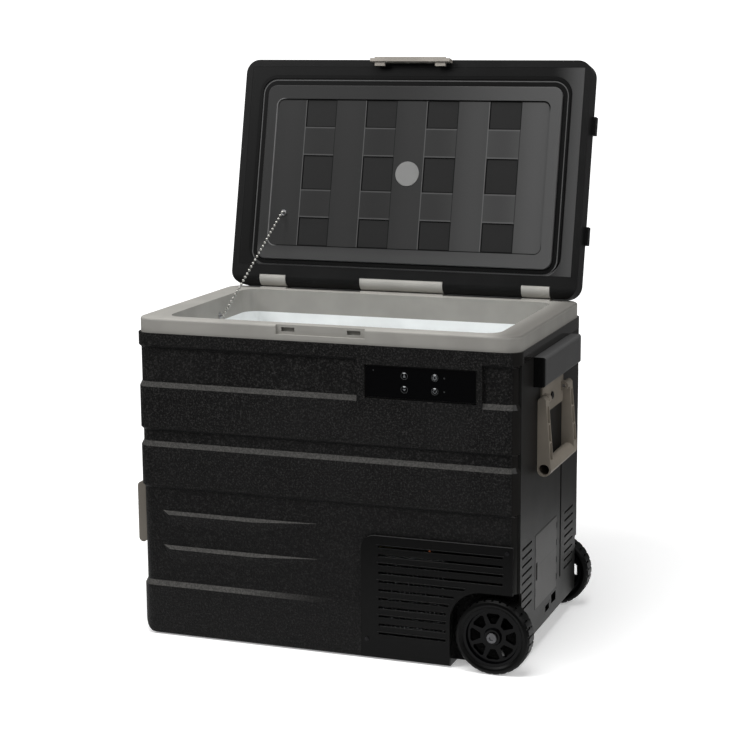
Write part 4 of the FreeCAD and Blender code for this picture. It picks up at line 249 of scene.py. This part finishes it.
class Field:
    """A number that varies over a surface, with ordinary arithmetic on it."""

    def __init__(self, tree, socket):
        self.tree = tree
        self.socket = socket

    def maths(self, operation, *values):
        """One step of arithmetic on fields and plain numbers."""
        node = self.tree.nodes.new("ShaderNodeMath")
        node.operation = operation
        for place, value in enumerate(values):
            if isinstance(value, Field):
                self.tree.links.new(value.socket, node.inputs[place])
            else:
                node.inputs[place].default_value = value
        return Field(self.tree, node.outputs[0])

    def __add__(self, other):
        return self.maths("ADD", self, other)

    def __radd__(self, other):
        return self.maths("ADD", other, self)

    def __sub__(self, other):
        return self.maths("SUBTRACT", self, other)

    def __rsub__(self, other):
        return self.maths("SUBTRACT", other, self)

    def __mul__(self, other):
        return self.maths("MULTIPLY", self, other)

    def __rmul__(self, other):
        return self.maths("MULTIPLY", other, self)

    def __abs__(self):
        return self.maths("ABSOLUTE", self)

    def rise(self, low, high):
        """0 below low, 1 above high, and smooth between; low may be the larger."""
        node = self.tree.nodes.new("ShaderNodeMapRange")
        node.interpolation_type = "SMOOTHSTEP"
        self.tree.links.new(self.socket, node.inputs["Value"])
        if low > high:
            node.inputs["From Min"].default_value = high
            node.inputs["From Max"].default_value = low
            node.inputs["To Min"].default_value = 1
            node.inputs["To Max"].default_value = 0
        else:
            node.inputs["From Min"].default_value = low
            node.inputs["From Max"].default_value = high
        return Field(self.tree, node.outputs["Result"])

    def band(self, low, high, soft):
        """1 between low and high, with soft edges."""
        return self.rise(low - soft, low + soft) * self.rise(high + soft, high - soft)

    def most(self, other):
        return self.maths("MAXIMUM", self, other)

    def least(self, other):
        return self.maths("MINIMUM", self, other)

    def cosine(self):
        return self.maths("COSINE", self)

    def wrapped(self, low, high):
        """The value brought between low and high by whole steps of their distance."""
        return self.maths("WRAP", self, high, low)

    def power(self, exponent):
        return self.maths("POWER", self, exponent)


def box_distance(across, along, middle, half, radius):
    """How far a place lies outside a rounded rectangle; inside it, the distance is negative."""
    out_x = abs(across - middle[0]) - (half[0] - radius)
    out_y = abs(along - middle[1]) - (half[1] - radius)
    corner = (out_x.most(0) * out_x.most(0) + out_y.most(0) * out_y.most(0)).power(0.5)
    return corner + out_x.most(out_y).least(0) - radius


class Surface:
    """One material: a Principled shader, its constant settings and the fields that vary it."""

    def __init__(self, name, colour, roughness, metallic=0.0):
        self.material = bpy.data.materials.new(name)
        self.material.use_nodes = True
        self.tree = self.material.node_tree
        self.shader = self.tree.nodes["Principled BSDF"]
        self.shader.inputs["Base Color"].default_value = linear(colour)
        self.shader.inputs["Roughness"].default_value = roughness
        self.shader.inputs["Metallic"].default_value = metallic
        self.shader.inputs["Specular IOR Level"].default_value = MATT
        self.place = self.node("ShaderNodeTexCoord", "Object")
        self.x, self.y, self.z = self.parts(self.place)

    def node(self, kind, output, links=None, **settings):
        """Adds any other node and hands back one of its outputs."""
        node = self.tree.nodes.new(kind)
        for word, value in settings.items():
            if hasattr(node, word):
                setattr(node, word, value)
            else:
                node.inputs[word.replace("_", " ").title()].default_value = value
        for word, field in (links or {}).items():
            self.tree.links.new(field.socket, node.inputs[word])
        return Field(self.tree, node.outputs[output])

    def parts(self, vector):
        """A vector field as its three fields of numbers."""
        split = self.tree.nodes.new("ShaderNodeSeparateXYZ")
        self.tree.links.new(vector.socket, split.inputs[0])
        return [Field(self.tree, output) for output in split.outputs]

    def facing(self):
        """The surface's own direction, as three fields."""
        return self.parts(self.node("ShaderNodeTexCoord", "Normal"))

    def noise(self, size, detail=2.0, roughness=0.5):
        """Soft noise whose lumps are about size metres across."""
        return self.node("ShaderNodeTexNoise", "Fac", {"Vector": self.place}, scale=1 / size, detail=detail,
                         roughness=roughness)

    def cells(self, size):
        """The distance from the middles of cells about size metres across."""
        return self.node("ShaderNodeTexVoronoi", "Distance", {"Vector": self.place}, scale=1 / size)

    def colours(self, amount, first, second):
        """A blend of two colours by a field."""
        node = self.tree.nodes.new("ShaderNodeMix")
        node.data_type = "RGBA"
        self.tree.links.new(amount.socket, node.inputs[0])
        for place, colour in ((6, first), (7, second)):
            if isinstance(colour, Field):
                self.tree.links.new(colour.socket, node.inputs[place])
            else:
                node.inputs[place].default_value = linear(colour)
        return Field(self.tree, node.outputs[2])

    def vary(self, word, field):
        """Feeds one input of the shader with a field."""
        self.tree.links.new(field.socket, self.shader.inputs[word])

    def bump(self, height, depth):
        """Relief of that depth in metres where the height field is 1."""
        node = self.tree.nodes.new("ShaderNodeBump")
        node.inputs["Distance"].default_value = depth
        self.tree.links.new(height.socket, node.inputs["Height"])
        self.tree.links.new(node.outputs[0], self.shader.inputs["Normal"])


def moulded(name, colour, roughness, grain=0.7 * MM, depth=0.04 * MM, mottle=0.1):
    """Moulded plastic with a fine grain and a faint unevenness of colour and gloss."""
    surface = Surface(name, colour, roughness)
    cloud = surface.noise(60 * MM, 3)
    darker, lighter = toned(colour, 1 - mottle), toned(colour, 1 + mottle)
    surface.vary("Base Color", surface.colours(cloud.rise(*PATCHES), darker, lighter))
    fine = surface.noise(grain, 2)
    surface.vary("Roughness", fine * 0.12 + cloud * 0.08 + (roughness - 0.1))
    surface.bump(fine, depth)
    return surface


def hammered_shell():
    """The cabinet's black front: a coarse hammered grain with painted highlights in small specks, painted
    light on its upward ledges, painted shade under its bands, and satin on its right side.
    """
    surface = Surface("shell_hammered", SHELL, 0.5)
    across, _, upward = surface.facing()
    smooth = across.rise(0.35, 0.75).most(surface.x.rise(SATIN_FROM, SATIN_FULL))
    rough = 1 - smooth
    grain = surface.noise(3.2 * MM, 3, 0.75).rise(0.38, 0.66)
    fine = surface.noise(1.1 * MM, 2)
    height = surface.z
    # Painted highlights: light specks on the rough front, fewer lower down.
    glints = surface.noise(3 * MM, 4, 0.85).rise(0.48, 0.66) * rough
    glints = glints * (0.35 + 0.5 * height.rise(120 * MM, 420 * MM))
    # Lighter patches, more of them higher up.
    lighter_patches = surface.noise(90 * MM, 2).rise(0.25, 0.75) * height.rise(100 * MM, 400 * MM)
    # Painted light on the faces that look up, the ledges; faded out along the short ledges low down.
    ledge = upward.rise(0.22, 0.4) * upward.rise(0.95, 0.8) * (0.45 + 0.55 * grain)
    low_ledge = height.rise(SHORT_LEDGE_TOP, SHORT_LEDGE_TOP - 10 * MM)
    faded = low_ledge * surface.x.rise(SHORT_LEDGE_END, SHORT_LEDGE_END + SHORT_LEDGE_FADE)
    # Painted shade on the faces that look down, under the bands.
    brow_shade = upward.rise(-0.25, -0.42)
    black = surface.colours(glints, SHELL, SHELL_PAINTED_GLINT)
    black = surface.colours(lighter_patches * 0.25, black, SHELL_LIGHTER_PATCH)
    black = surface.colours(ledge * (1 - faded), black, LEDGE_PAINTED_LIGHT)
    black = surface.colours(brow_shade, black, BROW_PAINTED_SHADE)
    # Below about 220 mm the satin takes the side's painted lower tone.
    satin = surface.colours(height.rise(240 * MM, 200 * MM), SIDE, SIDE_LOW_PAINTED_LIGHT)
    surface.vary("Base Color", surface.colours(smooth, black, satin))
    surface.vary("Roughness", smooth * 0.02 + rough * (0.4 + grain * 0.2))
    surface.bump((grain * 0.8 + fine * 0.3) * rough + fine * smooth * 0.06, 0.5 * MM)
    return surface.material


def side_shade(surface, low_painted_light):
    """The side's satin black, with a painted tone below the slanting step over the vents that stands in for
    the light on that step, lighter towards the bottom as a painted reflection of the floor.
    """
    step = surface.z - (surface.y - STEP_FRONT) * STEP_SLOPE - STEP_HEIGHT
    below = step.rise(STEP_SOFT, -STEP_SOFT)
    # Painted reflection of the floor, lighter towards the bottom.
    floor_reflection = surface.z.rise(300 * MM, 50 * MM)
    cloud = surface.noise(60 * MM, 3).rise(*PATCHES)
    lower = surface.colours(floor_reflection, low_painted_light, toned(low_painted_light, 1.1))
    upper = surface.colours(cloud * 0.5, SIDE, toned(SIDE, 0.86))
    return surface.colours(below, upper, lower)


def side_satin():
    """The right side's satin panel, plain along its front edge."""
    surface = moulded("side_satin", SIDE, 0.42, 0.8 * MM, 0.03 * MM, 0.06)
    behind = surface.y.rise(PANEL_FRONT, PANEL_FRONT + 22 * MM)
    surface.vary("Base Color", surface.colours(behind, SIDE_LOW_PAINTED_LIGHT, side_shade(surface, SIDE_LOW_PAINTED_LIGHT)))
    return surface.material


def door_satin():
    """The battery door: painted light below the slanting step, and painted shade in the gap at its front and
    top, at two tabs, in hinge notches and along a faint crease.
    """
    surface = moulded("door_satin", SIDE, 0.4, 0.8 * MM, 0.03 * MM, 0.06)
    low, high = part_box("battery_door")
    along, height = surface.y, surface.z
    edge = along.rise(low.y + DOOR_GAP, low.y + DOOR_GAP - DOOR_SOFT)
    tab_feet = (low.z + TAB_LOW_RISE, high.z - TAB_TOP_DROP)
    low_tab, high_tab = (height.band(foot, foot + TAB_HIGH, DOOR_SOFT) for foot in tab_feet)
    tabs = along.rise(low.y + TAB_REACH, low.y + TAB_REACH - DOOR_SOFT) * low_tab.most(high_tab)
    top = height.rise(high.z - 2.2 * MM, high.z - 2.2 * MM + DOOR_SOFT)
    turn = (height - (low.z + NOTCH_FIRST)).wrapped(0, NOTCH_PITCH)
    notch = along.rise(high.y - NOTCH_REACH, high.y - NOTCH_REACH + DOOR_SOFT)
    notch = notch * turn.rise(NOTCH_HIGH, NOTCH_HIGH - DOOR_SOFT)
    notch = notch * height.band(low.z + NOTCH_MARGIN, high.z - NOTCH_MARGIN, DOOR_SOFT / 2)
    crease_foot = low.z + CREASE_RISE
    crease = height.band(crease_foot, crease_foot + CREASE_HIGH, 0.6 * MM) * 0.35
    # Painted shade in the door's gaps, notches and crease.
    dark = edge.most(tabs).most(top).most(notch).most(crease)
    surface.vary("Base Color", surface.colours(dark, side_shade(surface, DOOR_PAINTED_LIGHT), SHADE_LINE))
    return surface.material


def grille_plastic():
    """Smooth black plastic of the small covers and inner pieces."""
    return moulded("grille_smooth", GRILLE, 0.38, 0.9 * MM, 0.03 * MM, 0.12).material


def lit_upward(name, colour, edge, roughness):
    """Black plastic with painted light on its upward edges, as on the display's hood and the grille's slots.
    """
    surface = moulded(name, colour, roughness, 0.9 * MM, 0.03 * MM, 0.12)
    # Painted light where the surface looks up.
    upward = surface.facing()[2].rise(*UPWARD)
    surface.vary("Base Color", surface.colours(upward, colour, edge))
    return surface.material


def rim_plastic():
    """The grey rim, with painted shade on the collar inside the mouth and on its right ledge."""
    surface = moulded("rim_satin", RIM, 0.48, 0.8 * MM, 0.03 * MM, 0.03)
    cloud = surface.noise(50 * MM, 2).rise(*PATCHES)
    light = surface.colours(cloud, RIM, toned(RIM, 0.95))
    # Painted shade on the collar's wall inside the mouth.
    depth = surface.z.rise(RIM_TOP - 1 * MM, RIM_TOP - 6 * MM)
    inside = abs(surface.x).rise(MOUTH_HALF, MOUTH_HALF - MOUTH_SOFT)
    inside = inside * surface.y.band(MOUTH_FRONT, MOUTH_BACK, MOUTH_SOFT) * depth
    collar = surface.colours(inside, light, COLLAR_PAINTED_SHADE)
    # Painted shade on the right part of the top ledge.
    right = surface.x.rise(250 * MM, 300 * MM) * surface.z.rise(RIM_TOP - 4 * MM, RIM_TOP - 1 * MM)
    surface.vary("Base Color", surface.colours(right, collar, RIM_RIGHT_PAINTED_SHADE))
    return surface.material


def handle_plastic(name, colour):
    """The warm grey of the handles and the latch."""
    return moulded(name, colour, 0.45, 0.9 * MM, 0.05 * MM, 0.05).material


def lid_place(surface):
    """Where a point of the open lid lies on it: across, and back from the front as if it were shut."""
    turn = math.radians(OPEN_ANGLE)
    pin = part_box("hinge_pins")
    pin_y, pin_z = (pin[0].y + pin[1].y) / 2, (pin[0].z + pin[1].z) / 2
    along = (surface.y - pin_y) * math.cos(turn) + (surface.z - pin_z) * -math.sin(turn) + HINGE_BACK
    return surface.x, along


def lid_field_plastic():
    """The lid's inner panel: columns of sunk squares, with painted shade in them and in thin lines along
    their edges, painted highlights beside the edges, and painted light that grows towards the right and on
    the frame at the hinge end.
    """
    surface = moulded("lid_panel_satin", LID_FIELD, 0.38, 0.8 * MM, 0.02 * MM, 0.05)
    across, along = lid_place(surface)
    offset = (across - SQUARE_FIRST).wrapped(-SQUARE_PITCH / 2, SQUARE_PITCH / 2)
    side = abs(offset) - SQUARE_WIDE / 2
    gaps = [abs(along - (low + high) / 2) - (high - low) / 2 for low, high in SQUARE_ROWS]
    row = gaps[0].least(gaps[1]).least(gaps[2])
    square = side.most(row)
    field = box_distance(across, along, PANEL_MIDDLE, FIELD_HALF, FIELD_CORNER)
    within = field.rise(-0.2 * MM, -0.8 * MM)
    left_side, right_side = offset.rise(1 * MM, -1 * MM), offset.rise(-1 * MM, 1 * MM)

    # Painted shade on the floors of the sunk squares.
    floor = square.rise(0.3 * MM, -0.3 * MM) * within
    # Painted shade in thin lines round the squares, beside the columns and along the field's top and foot.
    outline = square.band(-1.5 * MM, 0.2 * MM, 0.3 * MM) * within
    column = side.band(-0.9 * MM, 0.2 * MM, 0.4 * MM) * within * right_side
    # Painted highlights beside the columns, between the squares and along the field's left edge.
    gleam = side.band(0.3 * MM, 1.7 * MM, 0.5 * MM) * within * left_side * 0.22
    cross_highlight = row.band(0.4 * MM, 2.4 * MM, 0.6 * MM) * side.rise(0.2 * MM, -0.2 * MM) * within * 0.16
    left_edge = field.band(-0.6 * MM, 1.2 * MM, 0.5 * MM) * across.rise(-225 * MM, -235 * MM)
    top_edge = field.band(-2.2 * MM, 0.4 * MM, 0.4 * MM) * along.rise(80 * MM, 66 * MM)
    foot_edge = field.band(-1.2 * MM, 0.3 * MM, 0.3 * MM) * along.rise(290 * MM, 310 * MM)
    # Painted light on the frame beyond the field at the hinge end.
    frame_glow = along.rise(300 * MM, 330 * MM) * field.rise(0.2 * MM, 1 * MM)
    # Painted shade that rounds the strips between the columns of squares.
    rounding = (offset * (2 * math.pi / SQUARE_PITCH)).cosine() * 0.5 + 0.5
    out = box_distance(across, along, PANEL_MIDDLE, RAISED_HALF, RAISED_CORNER)
    border = out.rise(BORDER_OUT, BORDER_OUT + 1 * MM)
    # Painted light growing towards the panel's right.
    right = across.rise(-50 * MM, 280 * MM)

    base = surface.colours(right * 0.6, LID_FIELD, LID_FIELD_RIGHT_LIGHT)
    base = surface.colours(frame_glow * 0.5, base, LID_FRAME_PAINTED_LIGHT)
    base = surface.colours(rounding * within * 0.35, base, LID_SQUARE_SHADE)
    base = surface.colours(floor, base, LID_SQUARE_SHADE)
    base = surface.colours(gleam.most(cross_highlight), base, LID_EDGE_HIGHLIGHT)
    dark = (outline * 0.85).most(column * 0.7).most(top_edge).most(foot_edge)
    base = surface.colours(dark, base, LID_LINE_SHADE)
    base = surface.colours(left_edge * 0.75, base, LID_GLEAM)
    # Painted light: the border grows lighter towards its right.
    border_painted_light = surface.colours(across.rise(240 * MM, 300 * MM), LID_BORDER, LID_BORDER_RIGHT_LIGHT)
    surface.vary("Base Color", surface.colours(border, base, border_painted_light))
    return surface.material


def black_rubber(name):
    """Black rubber with a fine grain."""
    return moulded(name, GASKET, 0.42, 1.2 * MM, 0.03 * MM, 0.2)


def lid_seal():
    """The lid's gasket: two black bands with a thin painted highlight along its lip between them."""
    surface = black_rubber("lid_seal")
    across, along = lid_place(surface)
    out = box_distance(across, along, PANEL_MIDDLE, RAISED_HALF, RAISED_CORNER)
    # Painted highlight along the lip.
    lip = out.band(*LIP_OUT, 0.5 * MM)
    surface.vary("Base Color", surface.colours(lip * 0.6, GASKET, GASKET_LIP_HIGHLIGHT))
    return surface.material


def metal(name, colour, roughness):
    """Bare metal with fine scratches and a slight change of gloss."""
    surface = Surface(name, colour, roughness, 1.0)
    fine = surface.noise(0.6 * MM, 3)
    cloud = surface.noise(8 * MM).rise(*PATCHES)
    surface.vary("Roughness", fine * 0.2 + (roughness - 0.1))
    surface.vary("Base Color", surface.colours(cloud, colour, toned(colour, 0.88)))
    surface.bump(fine, 0.01 * MM)
    return surface.material


def chain_metal(start, end):
    """The chain's bright beads, with painted shade on the wire between them."""
    surface = Surface("chain_bright", BEAD, 0.28, 1.0)
    along = (surface.z - start.z) * ((BEAD_COUNT - 1) / (end.z - start.z)) + 0.5
    gap = abs(along.wrapped(0, 1) - 0.5)
    surface.vary("Base Color", surface.colours(gap.rise(0.3, 0.42), BEAD, WIRE_PAINTED_SHADE))
    surface.vary("Roughness", surface.noise(0.6 * MM) * 0.1 + 0.22)
    return surface.material


def housing_plastic():
    """The handle's housing, in shade on the face that looks forward."""
    surface = moulded("housing_dark", HOUSING, 0.4)
    # Painted shade on the face that looks forward.
    forward = surface.facing()[1].rise(-0.5, -0.85)
    surface.vary("Base Color", surface.colours(forward, HOUSING, HOUSING_FRONT_SHADE))
    return surface.material


def display_gloss():
    """The display's window and buttons: glossy black, very slightly wavy."""
    surface = Surface("display_gloss", DISPLAY, 0.08)
    surface.vary("Roughness", surface.noise(30 * MM, 3) * 0.06 + 0.05)
    surface.bump(surface.noise(25 * MM), 0.02 * MM)
    return surface.material


def foam_cells():
    """Rigid foam with its small open cells."""
    surface = Surface("foam_cells", FOAM, 0.85)
    cells = surface.cells(2 * MM)
    surface.vary("Base Color", surface.colours(cells.rise(0.1, 0.7), FOAM, toned(FOAM, 0.85)))
    surface.bump(cells, 0.4 * MM)
    return surface.material


def icon_print(name, colour):
    """The print on the display, with a slightly uneven gloss."""
    surface = Surface(name, colour, 0.4)
    surface.vary("Roughness", surface.noise(1 * MM) * 0.2 + 0.3)
    return surface.material


def dress():
    """Gives every CAD node the finish of what it is."""
    hinge_blocks = ("hinge_block_left", "hinge_block_centre", "hinge_block_right")
    steel_pieces = ("hinge_pins", "latch_pin", "lid_chain_anchor", "rim_chain_anchor", "lid_chain",
                    "door_hinge_pins", "handle_pins", "tow_pins", "axle")
    smooth_pieces = ("battery_tray", "dc_inlet", "ac_inlet", "axle_brackets", "fan_frame", "fan_rotor")
    buttons = tuple(f"button_{place}" for place in PLACES)
    for finish, names in (
        (hammered_shell(), ("outer_shell",)),
        (side_satin(), ("right_side_panel",)),
        (door_satin(), ("battery_door",)),
        (grille_plastic(), smooth_pieces),
        (lit_upward("grille_panel", GRILLE, GRILLE_EDGE_HIGHLIGHT, 0.34), ("front_grille",)),
        (lit_upward("bezel_satin", SHELL, LEDGE_PAINTED_LIGHT, 0.4), ("display_bezel",)),
        (display_gloss(), ("display_window", *buttons)),
        (rim_plastic(), ("rim_frame", "tow_brackets")),
        (moulded("hinge_grey", HINGE, 0.45, 0.8 * MM, 0.03 * MM, 0.03).material, hinge_blocks),
        (moulded("liner_white", LINER, 0.3, 3 * MM, 0.03 * MM, 0.02).material, ("liner",)),
        (moulded("lid_satin", LID, 0.4, 0.8 * MM, 0.03 * MM, 0.06).material, ("lid_cover",)),
        (lid_field_plastic(), ("lid_inner_panel",)),
        (lid_seal(), ("lid_gasket",)),
        (moulded("plug_grey", PLUG, 0.4, 0.8 * MM, 0.02 * MM, 0.03).material, ("foam_plug",)),
        (handle_plastic("latch_grey", LATCH), ("latch_lever",)),
        (handle_plastic("handle_warm_grey", HANDLE), ("handle_bracket", "carry_handle")),
        # The tow handle has the handles' warm grey darkened as painted shade.
        (handle_plastic("tow_grey_painted_shade", TOW_PAINTED_SHADE), ("tow_handle",)),
        (housing_plastic(), ("handle_housing",)),
        (metal("screw_black", SCREW, 0.4), ("bracket_screw", "grille_screws")),
        (metal("steel_plain", STEEL, 0.32), steel_pieces),
        (metal("bolt_dark", BOLT, 0.35), ("axle_bolts",)),
        (metal("contact_brass", BRASS, 0.3), ("inlet_contacts",)),
        (metal("aluminium_bare", ALUMINIUM, 0.35), ("evaporator", "condenser", "control_box")),
        (metal("pipe_copper", COPPER, 0.3), ("refrigerant_lines",)),
        (metal("tray_zinc", ZINC, 0.5), ("base_tray",)),
        (moulded("board_green", BOARD, 0.4).material, ("control_board",)),
        (moulded("compressor_black", COMPRESSOR, 0.35).material, ("compressor",)),
        (black_rubber("gasket_rubber").material, ("feet", "compressor_mounts")),
        (foam_cells(), ("insulation_foam", "lid_foam")),
        (moulded("hub_gloss", HUB, 0.22, 1.2 * MM, 0.02 * MM, 0.1).material,
         ("front_wheel_hub", "rear_wheel_hub")),
        (moulded("tyre_rubber", TYRE, 0.4, 1.5 * MM, 0.06 * MM, 0.15).material,
         ("front_wheel_tyre", "rear_wheel_tyre")),
    ):
        for name in names:
            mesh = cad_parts[name].data
            mesh.materials.clear()
            mesh.materials.append(finish)


def ease_edges():
    """Rounds the sharp edges of the moulded pieces by under a millimetre, so that they catch the light."""
    for width, names in EASED.items():
        for name in names:
            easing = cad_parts[name].modifiers.new("eased_edges", "BEVEL")
            easing.width = width * MM
            easing.segments = 2
            easing.limit_method = "ANGLE"
            easing.angle_limit = math.radians(EASED_ANGLE)


def joined_mesh(name, build, material, body):
    """A new piece of the object from a mesh built in code, riding on its body if one is named."""
    mesh = bpy.data.meshes.new(name)
    shape = bmesh.new()
    build(shape)
    shape.to_mesh(mesh)
    shape.free()
    mesh.materials.append(material)
    piece = bpy.data.objects.new(name, mesh)
    bpy.context.scene.collection.objects.link(piece)
    if body:
        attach(piece, body)
    return piece


def bead_chain():
    """The lid's bead chain: bright beads on a thin wire, from the rim's stud to the lid's."""
    low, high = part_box("lid_chain")
    inset = Vector((BEAD_RADIUS, BEAD_RADIUS, BEAD_RADIUS))
    start, end = low + inset, high - inset
    run = end - start
    links = BEAD_COUNT - 1

    def build(shape):
        for bead in range(BEAD_COUNT):
            added = bmesh.ops.create_icosphere(shape, subdivisions=3, radius=BEAD_RADIUS * BEAD_SHOWN,
                                               matrix=Matrix.Translation(start.lerp(end, bead / links)))
            for vertex in added["verts"]:
                for face in vertex.link_faces:
                    face.smooth = True
        turn = run.to_track_quat("Z", "Y").to_matrix().to_4x4()
        for link in range(links):
            middle = start.lerp(end, (link + 0.5) / links)
            bmesh.ops.create_cone(shape, segments=8, radius1=WIRE_RADIUS, radius2=WIRE_RADIUS,
                                  depth=run.length / links, matrix=Matrix.Translation(middle) @ turn)

    chain = joined_mesh("lid_bead_chain", build, chain_metal(start, end), None)
    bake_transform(chain)
    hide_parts("lid_chain")


def ring_faces(shape, centre, radii, lift=PRINT_LIFT, arc=(0, 360), steps=40):
    """A flat ring, or the part of one between two angles in degrees, facing the front."""
    first, last = (math.radians(angle) for angle in arc)
    rows = []
    for step in range(steps + 1):
        angle = first + (last - first) * step / steps
        across, up = math.cos(angle), math.sin(angle)
        rows.append([shape.verts.new((centre.x + across * size, centre.y - lift, centre.z + up * size))
                     for size in radii])
    for near, far in zip(rows, rows[1:]):
        shape.faces.new((near[0], near[1], far[1], far[0]))


def flat_face(shape, centre, corners):
    """A flat outline facing the front, its corners given in millimetres from a centre."""
    depth = centre.y - PRINT_LIFT
    shape.faces.new([shape.verts.new((centre.x + x * MM, depth, centre.z + z * MM)) for x, z in corners])


def faint_ring(shape, centre, place):
    """The thin ring round a button; the mode button has a second arc inside it."""
    ring_faces(shape, centre, FAINT_RING)
    if place == "mode":
        ring_faces(shape, centre, MODE_ARC, arc=(200, 340))


def settings_wheel(shape, centre):
    """A ring with short teeth round it."""
    ring_faces(shape, centre, WHEEL_RING)
    for spoke in range(SPOKE_COUNT):
        turn = 2 * math.pi * spoke / SPOKE_COUNT
        flat_face(shape, centre, [(math.sin(turn + swing) * size, math.cos(turn + swing) * size)
                                  for swing, size in SPOKE])


def symbol(shape, centre, place):
    """The sign in the middle of a button."""
    if place == "up":
        flat_face(shape, centre, ARROW_UP)
    elif place == "down":
        flat_face(shape, centre, ARROW_DOWN)
    elif place == "mode":
        settings_wheel(shape, centre)
    else:
        ring_faces(shape, centre, POWER_RING, arc=(-230, 50))
        flat_face(shape, centre, POWER_BAR)


def gleam(shape, centre, place):
    """A painted highlight: the bright arc over a button's sign."""
    ring_faces(shape, centre, GLEAM_ARC, GLEAM_LIFT, arc=(66, 114), steps=12)


def button_icons():
    """Each button's thin printed ring with its symbol, and a painted highlight on the upper part of the ring.
    """
    prints = (
        ("ring", faint_ring, icon_print("icon_dim", ICON_DIM)),
        ("symbol", symbol, icon_print("icon_plain", ICON_PLAIN)),
        ("gleam", gleam, icon_print("icon_painted_highlight", ICON_HIGHLIGHT)),
    )
    for place in PLACES:
        low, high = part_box(f"button_{place}")
        centre = Vector(((low.x + high.x) / 2, low.y, (low.z + high.z) / 2))
        for word, draw, ink in prints:
            joined_mesh(f"{place}_{word}", lambda shape: draw(shape, centre, place), ink, f"{place}_button")


def display_marks():
    """The two dim lamps to the right of the buttons and the faint one in the window's corner."""
    window_low, window_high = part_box("display_window")
    lamp = icon_print("lamp_dim", LAMP)
    mode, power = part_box("button_mode"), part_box("button_power")
    for name, right, up, size in (
        ("mode_lamp", mode[1].x + LAMP_ASIDE, (mode[0].z + mode[1].z) / 2, 1.3 * MM),
        ("power_lamp", power[1].x + LAMP_ASIDE, (power[0].z + power[1].z) / 2, 1.2 * MM),
        ("corner_lamp", window_low.x + CORNER_LAMP_IN, window_high.z - CORNER_LAMP_DOWN, 1.1 * MM),
    ):
        centre = Vector((right, window_low.y, up))
        joined_mesh(name, lambda shape: ring_faces(shape, centre, (LAMP_HOLE, size), steps=16), lamp,
                    "cabinet")


def floor_disc():
    """A pale disc under the object that fades out before its edge."""
    bpy.ops.mesh.primitive_circle_add(vertices=96, radius=FLOOR_RADIUS, fill_type="NGON", location=(0, 0, 0))
    floor = bpy.context.object
    floor.name = "studio_floor"
    paint = Surface("floor_pale", FLOOR, 0.9)
    paint.vary("Roughness", paint.noise(0.2) * 0.1 + 0.85)
    paint.shader.inputs["Emission Color"].default_value = (1, 1, 1, 1)
    paint.shader.inputs["Emission Strength"].default_value = FLOOR_GLOW
    reach = (paint.x * paint.x + paint.y * paint.y).power(0.5)
    paint.vary("Alpha", reach.rise(*FLOOR_FADE))
    floor.data.materials.append(paint.material)


def studio_lights():
    """Soft light from the left, the right and above."""
    for name, place, aim, size, power in LIGHTS:
        light = bpy.data.lights.new(name, "AREA")
        light.size = size
        light.energy = power
        lamp = bpy.data.objects.new(name, light)
        lamp.location = place
        lamp.rotation_euler = (Vector(aim) - Vector(place)).to_track_quat("-Z", "Y").to_euler()
        bpy.context.scene.collection.objects.link(lamp)


def white_surround():
    """A surround that is white to the camera and dim as a light."""
    world = bpy.data.worlds.new("white_surround")
    bpy.context.scene.world = world
    world.use_nodes = True
    tree = world.node_tree
    ground = tree.nodes["Background"]
    rays = tree.nodes.new("ShaderNodeLightPath")
    strength = tree.nodes.new("ShaderNodeMapRange")
    strength.inputs["To Min"].default_value = SURROUND
    strength.inputs["To Max"].default_value = SURROUND_SEEN
    tree.links.new(rays.outputs["Is Camera Ray"], strength.inputs["Value"])
    ground.inputs["Color"].default_value = (1, 1, 1, 1)
    tree.links.new(strength.outputs["Result"], ground.inputs["Strength"])


def camera():
    """The photograph's place and lens."""
    upright = Matrix.Rotation(math.pi / 2 - PITCH, 3, "X")
    turn = Matrix.Rotation(YAW, 3, "Z") @ upright @ Matrix.Rotation(ROLL, 3, "Z")
    lens = bpy.data.cameras.new("photo_camera")
    lens.lens = LENS
    lens.sensor_width = SENSOR
    lens.clip_end = 50
    viewer = bpy.data.objects.new("photo_camera", lens)
    viewer.matrix_world = Matrix.Translation(Vector(EYE)) @ turn.to_4x4()
    bpy.context.scene.collection.objects.link(viewer)
    bpy.context.scene.camera = viewer
    bpy.context.scene.view_settings.view_transform = "Standard"


dress()
ease_edges()
bead_chain()
button_icons()
display_marks()
floor_disc()
studio_lights()
white_surround()
camera()
